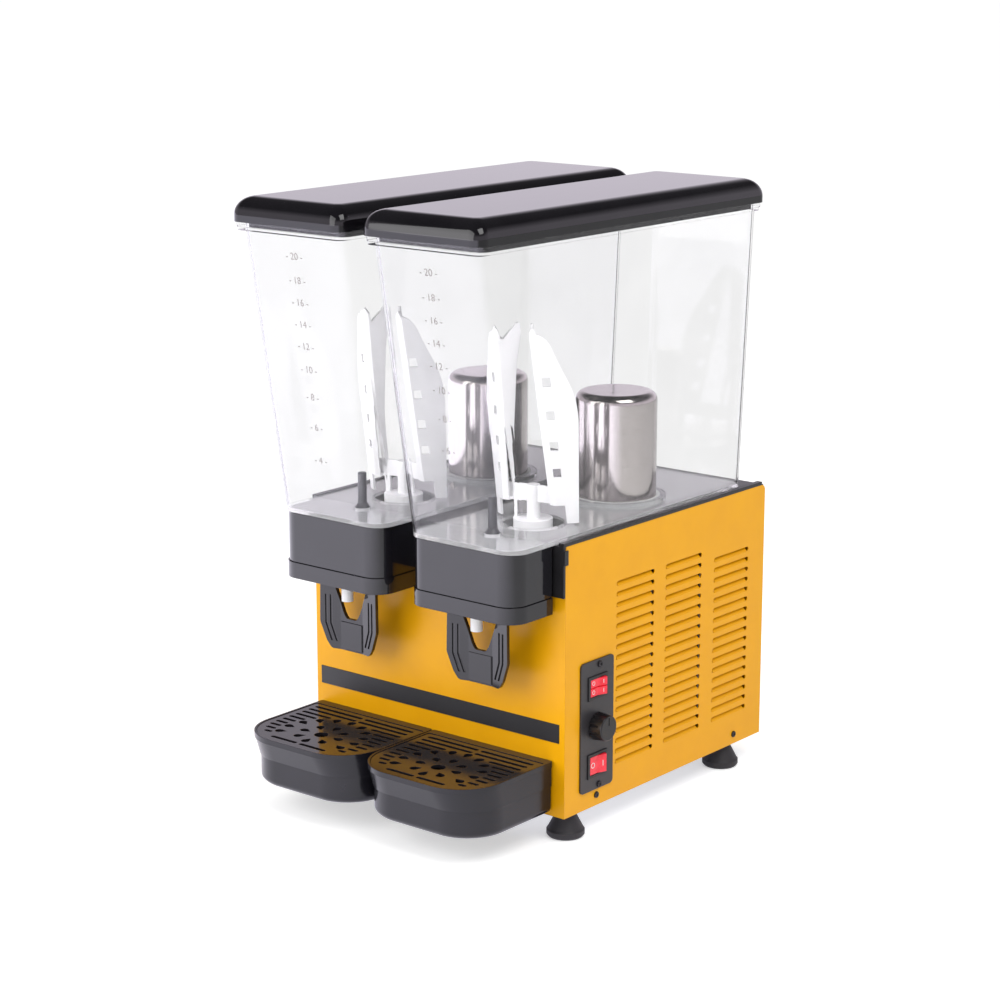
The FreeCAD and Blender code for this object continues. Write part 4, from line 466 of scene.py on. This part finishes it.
# %% [markdown]
# ## Printed marks
# A hot stamp or a printing pad leaves a film of ink, thinner than paper. It could be a picture
# on the plastic, but a picture blurs when seen close. Blender's text objects give clean
# outlines, and all the marks on one piece become one thin mesh that rides on it.

# %%  From text to a thin mesh
INK_DEPTH_MM = 0.05


def as_mesh(curve):
    """The mesh of a text or a wire, made through an object that is then removed."""
    holder = in_scene("holder", curve)
    bpy.context.view_layer.update()
    mesh = bpy.data.meshes.new_from_object(holder)
    bpy.data.objects.remove(holder)
    return mesh


def print_marks(name, marks, size_mm, ink, body):
    """One thin mesh of characters, each given as (text, matrix), printed on a body."""
    parts = bmesh.new()
    for text, place in marks:
        words = bpy.data.curves.new("words", "FONT")
        words.body = text
        words.size = size_mm * MM
        words.extrude = INK_DEPTH_MM * MM
        words.align_x = "CENTER"
        words.align_y = "CENTER"
        mesh = as_mesh(words)
        mesh.transform(place)
        parts.from_mesh(mesh)
        bpy.data.meshes.remove(mesh)
    whole = bpy.data.meshes.new(name)
    parts.to_mesh(whole)
    parts.free()
    piece = in_scene(name, whole)
    whole.materials.append(ink)
    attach(piece, body)
    print(name, "faces:", len(whole.polygons))


print("ink is extruded by", INK_DEPTH_MM, "mm to each side")

# %% [markdown]
# ## Litre scale
# The front wall of each tank carries a litre scale, hot-stamped in pale grey. The wall leans
# forward, so each number is turned by the wall's lean and laid on its outer face. The marks lie
# closer together higher up, where the tank is wider.

# %%  Numbers on the tanks
# Hot-stamp foil is pigment under a dull lacquer: the numbers read as flat pale grey.
stamp_grey = coated("grey hot-stamp", "8F8888", "9C9595", 0.5, 0.05, 0.4, 0.5, edge_mm=0.05)
# All in millimetres: the height of each number, y and z at the foot of the front wall, the
# middle of each tank, the size of the digits, and how far the stamp stands before the wall.
SCALE_HEIGHTS = {20: 624.8, 18: 598.8, 16: 574.8, 14: 550.8, 12: 526.7, 10: 501.0, 8: 470.5,
                 6: 436.4, 4: 399.0}
WALL_FOOT = (-188.5, 331.4)
TANK_X = {"left": -100.5, "right": 85.5}
DIGIT_SIZE = 11.0
STAMP_GAP = 0.15
# The wall comes forward by 50 mm over a rise of 317 mm.
WALL_LEAN = 50.0 / 317.0


def wall_y(z_mm):
    """Y of the tank's front wall at a height, both in millimetres."""
    return WALL_FOOT[0] - (z_mm - WALL_FOOT[1]) * WALL_LEAN


for side in SIDES:
    upright = Matrix.Rotation(math.radians(90) + math.atan(WALL_LEAN), 4, "X")
    marks = [("- %d -" % litres,
              Matrix.Translation(Vector((TANK_X[side], wall_y(z) - STAMP_GAP, z)) * MM) @ upright)
             for litres, z in SCALE_HEIGHTS.items()]
    print_marks("litre_scale_" + side, marks, DIGIT_SIZE, stamp_grey, "tank_" + side)

# %% [markdown]
# ## Switch marks
# Each rocker has the usual I and O, pad-printed in white on its two faces. At rest a rocker
# leans so that its front face, with the O, lies flush, and its rear face stands out by twice
# the lean. The marks are turned with those faces and ride on the rocker.

# %%  Marks on the rockers
# Pad ink is a soft opaque film: white marks with no shine of their own.
pad_print = coated("white pad print", "EADFE0", "F4EBEC", 0.5, 0.05, 0.35, 0.45, edge_mm=0.05)
# A rocker's lean at rest, and in millimetres from its pivot: how far out its faces lie, how far
# along them the marks sit, and the size of the marks.
LEAN = math.radians(-10)
FACE_OUT = 4.87
FACE_ALONG = 7.4
MARK_SIZE = {"main_rocker": 9.0, "mixer_rocker_upper": 6.5, "mixer_rocker_lower": 6.5}
pivots = {joint["child"]: Vector(joint["pos_m"]) for joint in frame["joints"]
          if joint["child"] in MARK_SIZE}
for rocker, size in MARK_SIZE.items():
    marks = []
    for text, along, turn in (("O", -FACE_ALONG, 0.0), ("I", FACE_ALONG, 2 * LEAN)):
        offset = Matrix.Rotation(LEAN, 3, "Z") @ Vector((FACE_OUT, along, 0.0)) * MM
        facing = Matrix.Rotation(math.radians(90) + turn, 4, "Z") @ Matrix.Rotation(
            math.radians(90), 4, "X")
        marks.append((text, Matrix.Translation(pivots[rocker] + offset) @ facing))
    print_marks(rocker + "_marks", marks, size, pad_print, rocker)

# %% [markdown]
# ## Valve springs
# A coil spring of round stainless wire shuts each tap. CAD has a plain sleeve for it. Here a
# curve climbs as a helix inside the sleeve's box, and its bevel makes the wire. The spring
# stands on the plunger and rides on it.

# %%  Coil springs
WIRE_RADIUS = 0.5 * MM
TURNS = 5
STEPS_PER_TURN = 20


def coil_spring(side):
    """The wound spring of one tap, in place of its plain sleeve."""
    node = "tap_spring_" + side
    low, high = (Vector(corner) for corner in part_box(node))
    middle = (low + high) / 2
    radius = (high.x - low.x) / 2 - WIRE_RADIUS
    foot = low.z + WIRE_RADIUS
    rise = high.z - low.z - 2 * WIRE_RADIUS
    wire = bpy.data.curves.new(node + "_coil", "CURVE")
    wire.dimensions = "3D"
    wire.bevel_depth = WIRE_RADIUS
    wire.bevel_resolution = 2
    wire.use_fill_caps = True
    steps = TURNS * STEPS_PER_TURN
    spline = wire.splines.new("POLY")
    spline.points.add(steps)
    for i, point in enumerate(spline.points):
        turn = math.tau * i / STEPS_PER_TURN
        point.co = (middle.x + radius * math.cos(turn), middle.y + radius * math.sin(turn),
                    foot + rise * i / steps, 1.0)
    mesh = as_mesh(wire)
    mesh.shade_smooth()
    mesh.materials.clear()
    mesh.materials.append(shaft_steel)
    piece = in_scene("valve_spring_" + side, mesh)
    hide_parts(node)
    body = "tap_plunger_" + side
    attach(piece, body)
    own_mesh(piece)


for side in SIDES:
    coil_spring(side)

# %% [markdown]
# ## What each ray sees
# The photograph is cut out on white, and its gloss parts mirror a studio that the picture
# doesn't show. A real studio does that with cards and curtains. Here Light Path tells apart the
# rays straight from the eye, those through the clear tanks and those off a gloss surface, and
# the floor and the room show each of them its own white.

# %%  Three kinds of ray
WHITE = "FFFFFF"
# The white that shows through the tanks, just under the background's.
THROUGH_TANK = 0.95


def ray_kinds(tree):
    """Three masks: rays straight from the eye, seen through glass, and off a gloss surface.

    A ray that left a gloss surface and then went through glass still counts as off gloss.
    """
    ray = add_node(tree, "ShaderNodeLightPath")
    once = add_node(tree, "ShaderNodeMath", operation="MINIMUM",
                    links={0: ray.outputs["Glossy Depth"]}, values={1: 1.0})
    through = add_node(tree, "ShaderNodeMath", operation="MULTIPLY",
                       links={0: once.outputs["Value"], 1: ray.outputs["Is Transmission Ray"]})
    off_gloss = add_node(tree, "ShaderNodeMath", operation="MAXIMUM",
                         links={0: ray.outputs["Is Glossy Ray"], 1: through.outputs["Value"]})
    clean = add_node(tree, "ShaderNodeMath", operation="SUBTRACT",
                     links={0: ray.outputs["Is Transmission Ray"], 1: through.outputs["Value"]})
    return ray.outputs["Is Camera Ray"], clean.outputs["Value"], off_gloss.outputs["Value"]


print("white through the tanks:", THROUGH_TANK)

# %% [markdown]
# ## Floor
# A white floor under the machine keeps its contact shadow. A little light of its own lifts it to
# the photograph's white. In reflections it is a graded card, bright towards the front left and
# dim towards the back right, which gives gloss parts one bright side and one dark side.

# %%  Studio floor
COOL_WHITE = "EAE6FB"
# In metres: half the floor's side, and its height, just under the feet.
FLOOR_HALF = 60.0
FLOOR_Z = -0.0006
# The floor's own light, which only the eye sees straight.
FLOOR_LIFT = 0.46
# The card's two ends, as x plus y in metres, and how bright it is at each.
CARD_DIM_END, CARD_DIM = 0.6, 0.1
CARD_BRIGHT_END, CARD_BRIGHT = -1.6, 2.0


def studio_floor():
    """The floor, which belongs to the stage and not to the machine."""
    mesh = bpy.data.meshes.new("studio_floor")
    corners = [(-FLOOR_HALF, -FLOOR_HALF, FLOOR_Z), (FLOOR_HALF, -FLOOR_HALF, FLOOR_Z),
               (FLOOR_HALF, FLOOR_HALF, FLOOR_Z), (-FLOOR_HALF, FLOOR_HALF, FLOOR_Z)]
    mesh.from_pydata(corners, [], [(0, 1, 2, 3)])
    floor = in_scene("studio_floor", mesh)
    material = bpy.data.materials.new("white floor")
    material.use_nodes = True
    tree = material.node_tree
    tree.nodes.clear()
    output = add_node(tree, "ShaderNodeOutputMaterial")
    paint = add_node(tree, "ShaderNodeBsdfDiffuse", values={"Color": linear("F4F4F4")})
    from_eye, through_glass, off_gloss = ray_kinds(tree)
    place = add_node(tree, "ShaderNodeTexCoord")
    apart = add_node(tree, "ShaderNodeSeparateXYZ", links={"Vector": place.outputs["Object"]})
    slantwise = add_node(tree, "ShaderNodeMath", operation="ADD",
                         links={0: apart.outputs["X"], 1: apart.outputs["Y"]})
    card = add_node(tree, "ShaderNodeMapRange", links={"Value": slantwise.outputs["Value"]},
                    values={"From Min": CARD_DIM_END, "From Max": CARD_BRIGHT_END,
                            "To Min": CARD_DIM, "To Max": CARD_BRIGHT})
    in_gloss = add_node(tree, "ShaderNodeMath", operation="MULTIPLY",
                        links={0: off_gloss, 1: card.outputs["Result"]})
    lift = add_node(tree, "ShaderNodeMath", operation="MULTIPLY", links={0: from_eye},
                    values={1: FLOOR_LIFT})
    glow = add_node(tree, "ShaderNodeMath", operation="MAXIMUM",
                    links={0: lift.outputs["Value"], 1: in_gloss.outputs["Value"]})
    tint = add_node(tree, "ShaderNodeMix", data_type="RGBA", links={0: off_gloss},
                    values={6: linear(WHITE), 7: linear(COOL_WHITE)})
    light = add_node(tree, "ShaderNodeEmission",
                     links={"Color": tint.outputs[2], "Strength": glow.outputs["Value"]})
    both = add_node(tree, "ShaderNodeAddShader",
                    links={0: paint.outputs["BSDF"], 1: light.outputs["Emission"]})
    even = add_node(tree, "ShaderNodeEmission",
                    values={"Color": linear(WHITE), "Strength": THROUGH_TANK})
    seen = add_node(tree, "ShaderNodeMixShader",
                    links={0: through_glass, 1: both.outputs["Shader"],
                           2: even.outputs["Emission"]})
    tree.links.new(seen.outputs["Shader"], output.inputs["Surface"])
    mesh.materials.append(material)
    print("floor:", 2 * FLOOR_HALF, "m on a side")


studio_floor()

# %% [markdown]
# ## The room around
# The room lights the machine evenly and softly. To the camera and through the tanks it is plain
# white. In reflections it is white near the horizon, like a studio's curved wall, and dark
# overhead, like a studio's ceiling: that is what draws the dark edges on gloss black plastic.

# %%  Room
ROOM_LIGHT = 0.62
WALL_TINT = "F7EFFC"
# In reflections the wall ends and the dark ceiling begins at these heights, each the sine of the
# angle above the horizon, and each has its own brightness.
WALL_END, WALL_GLOW = 0.27, 1.05
CEILING_START, CEILING_GLOW = 0.55, 0.1
world = bpy.data.worlds.new("white studio")
bpy.context.scene.world = world
world.use_nodes = True
sky = world.node_tree
sky.nodes.clear()
sky_out = add_node(sky, "ShaderNodeOutputWorld")
sky_from_eye, sky_through_glass, sky_off_gloss = ray_kinds(sky)
way = add_node(sky, "ShaderNodeTexCoord")
rise = add_node(sky, "ShaderNodeSeparateXYZ", links={"Vector": way.outputs["Generated"]})
wall_glow = add_node(sky, "ShaderNodeMapRange", links={"Value": rise.outputs["Z"]},
                     values={"From Min": WALL_END, "From Max": CEILING_START,
                             "To Min": WALL_GLOW, "To Max": CEILING_GLOW})
soft_light = add_node(sky, "ShaderNodeBackground",
                      values={"Color": linear(WHITE), "Strength": ROOM_LIGHT})
mirrored = add_node(sky, "ShaderNodeBackground", values={"Color": linear(WALL_TINT)},
                    links={"Strength": wall_glow.outputs["Result"]})
# Full white straight from the eye, and a little less through the tanks.
wall_white = add_node(sky, "ShaderNodeMath", operation="MULTIPLY_ADD",
                      links={0: sky_from_eye},
                      values={1: 1.0 - THROUGH_TANK, 2: THROUGH_TANK})
white_wall = add_node(sky, "ShaderNodeBackground", values={"Color": linear(WHITE)},
                      links={"Strength": wall_white.outputs["Value"]})
seen_straight = add_node(sky, "ShaderNodeMath", operation="MAXIMUM",
                         links={0: sky_from_eye, 1: sky_through_glass})
gloss_mix = add_node(sky, "ShaderNodeMixShader",
                     links={0: sky_off_gloss, 1: soft_light.outputs["Background"],
                            2: mirrored.outputs["Background"]})
sky_mix = add_node(sky, "ShaderNodeMixShader",
                   links={0: seen_straight.outputs["Value"], 1: gloss_mix.outputs["Shader"],
                          2: white_wall.outputs["Background"]})
sky.links.new(sky_mix.outputs["Shader"], sky_out.inputs["Surface"])
print("room:", len(sky.nodes), "nodes, light", ROOM_LIGHT)

# %% [markdown]
# ## Lamps
# Two large soft lamps shape the machine, one from the front left and a higher one from the
# right. Being large, they leave soft shadows and broad highlights. The Standard view shows each
# colour as it was written, where a filmic view would grey the yellow.

# %%  Lamps and view
def soft_lamp(name, place, aim, size, watts):
    """A square lamp at a place in metres, turned to its aim."""
    data = bpy.data.lights.new(name, "AREA")
    data.shape = "SQUARE"
    data.size = size
    data.energy = watts
    lamp = in_scene(name, data)
    lamp.location = place
    lamp.rotation_euler = looking_at(place, aim)
    print(name + ":", size, "m wide,", watts, "W")


soft_lamp("front_lamp", (-0.8, -2.6, 1.5), (0, 0, 0.3), 2.4, 47)
soft_lamp("right_lamp", (1.7, -0.5, 2.7), (0, 0, 0.35), 1.6, 35)
bpy.context.scene.view_settings.view_transform = "Standard"
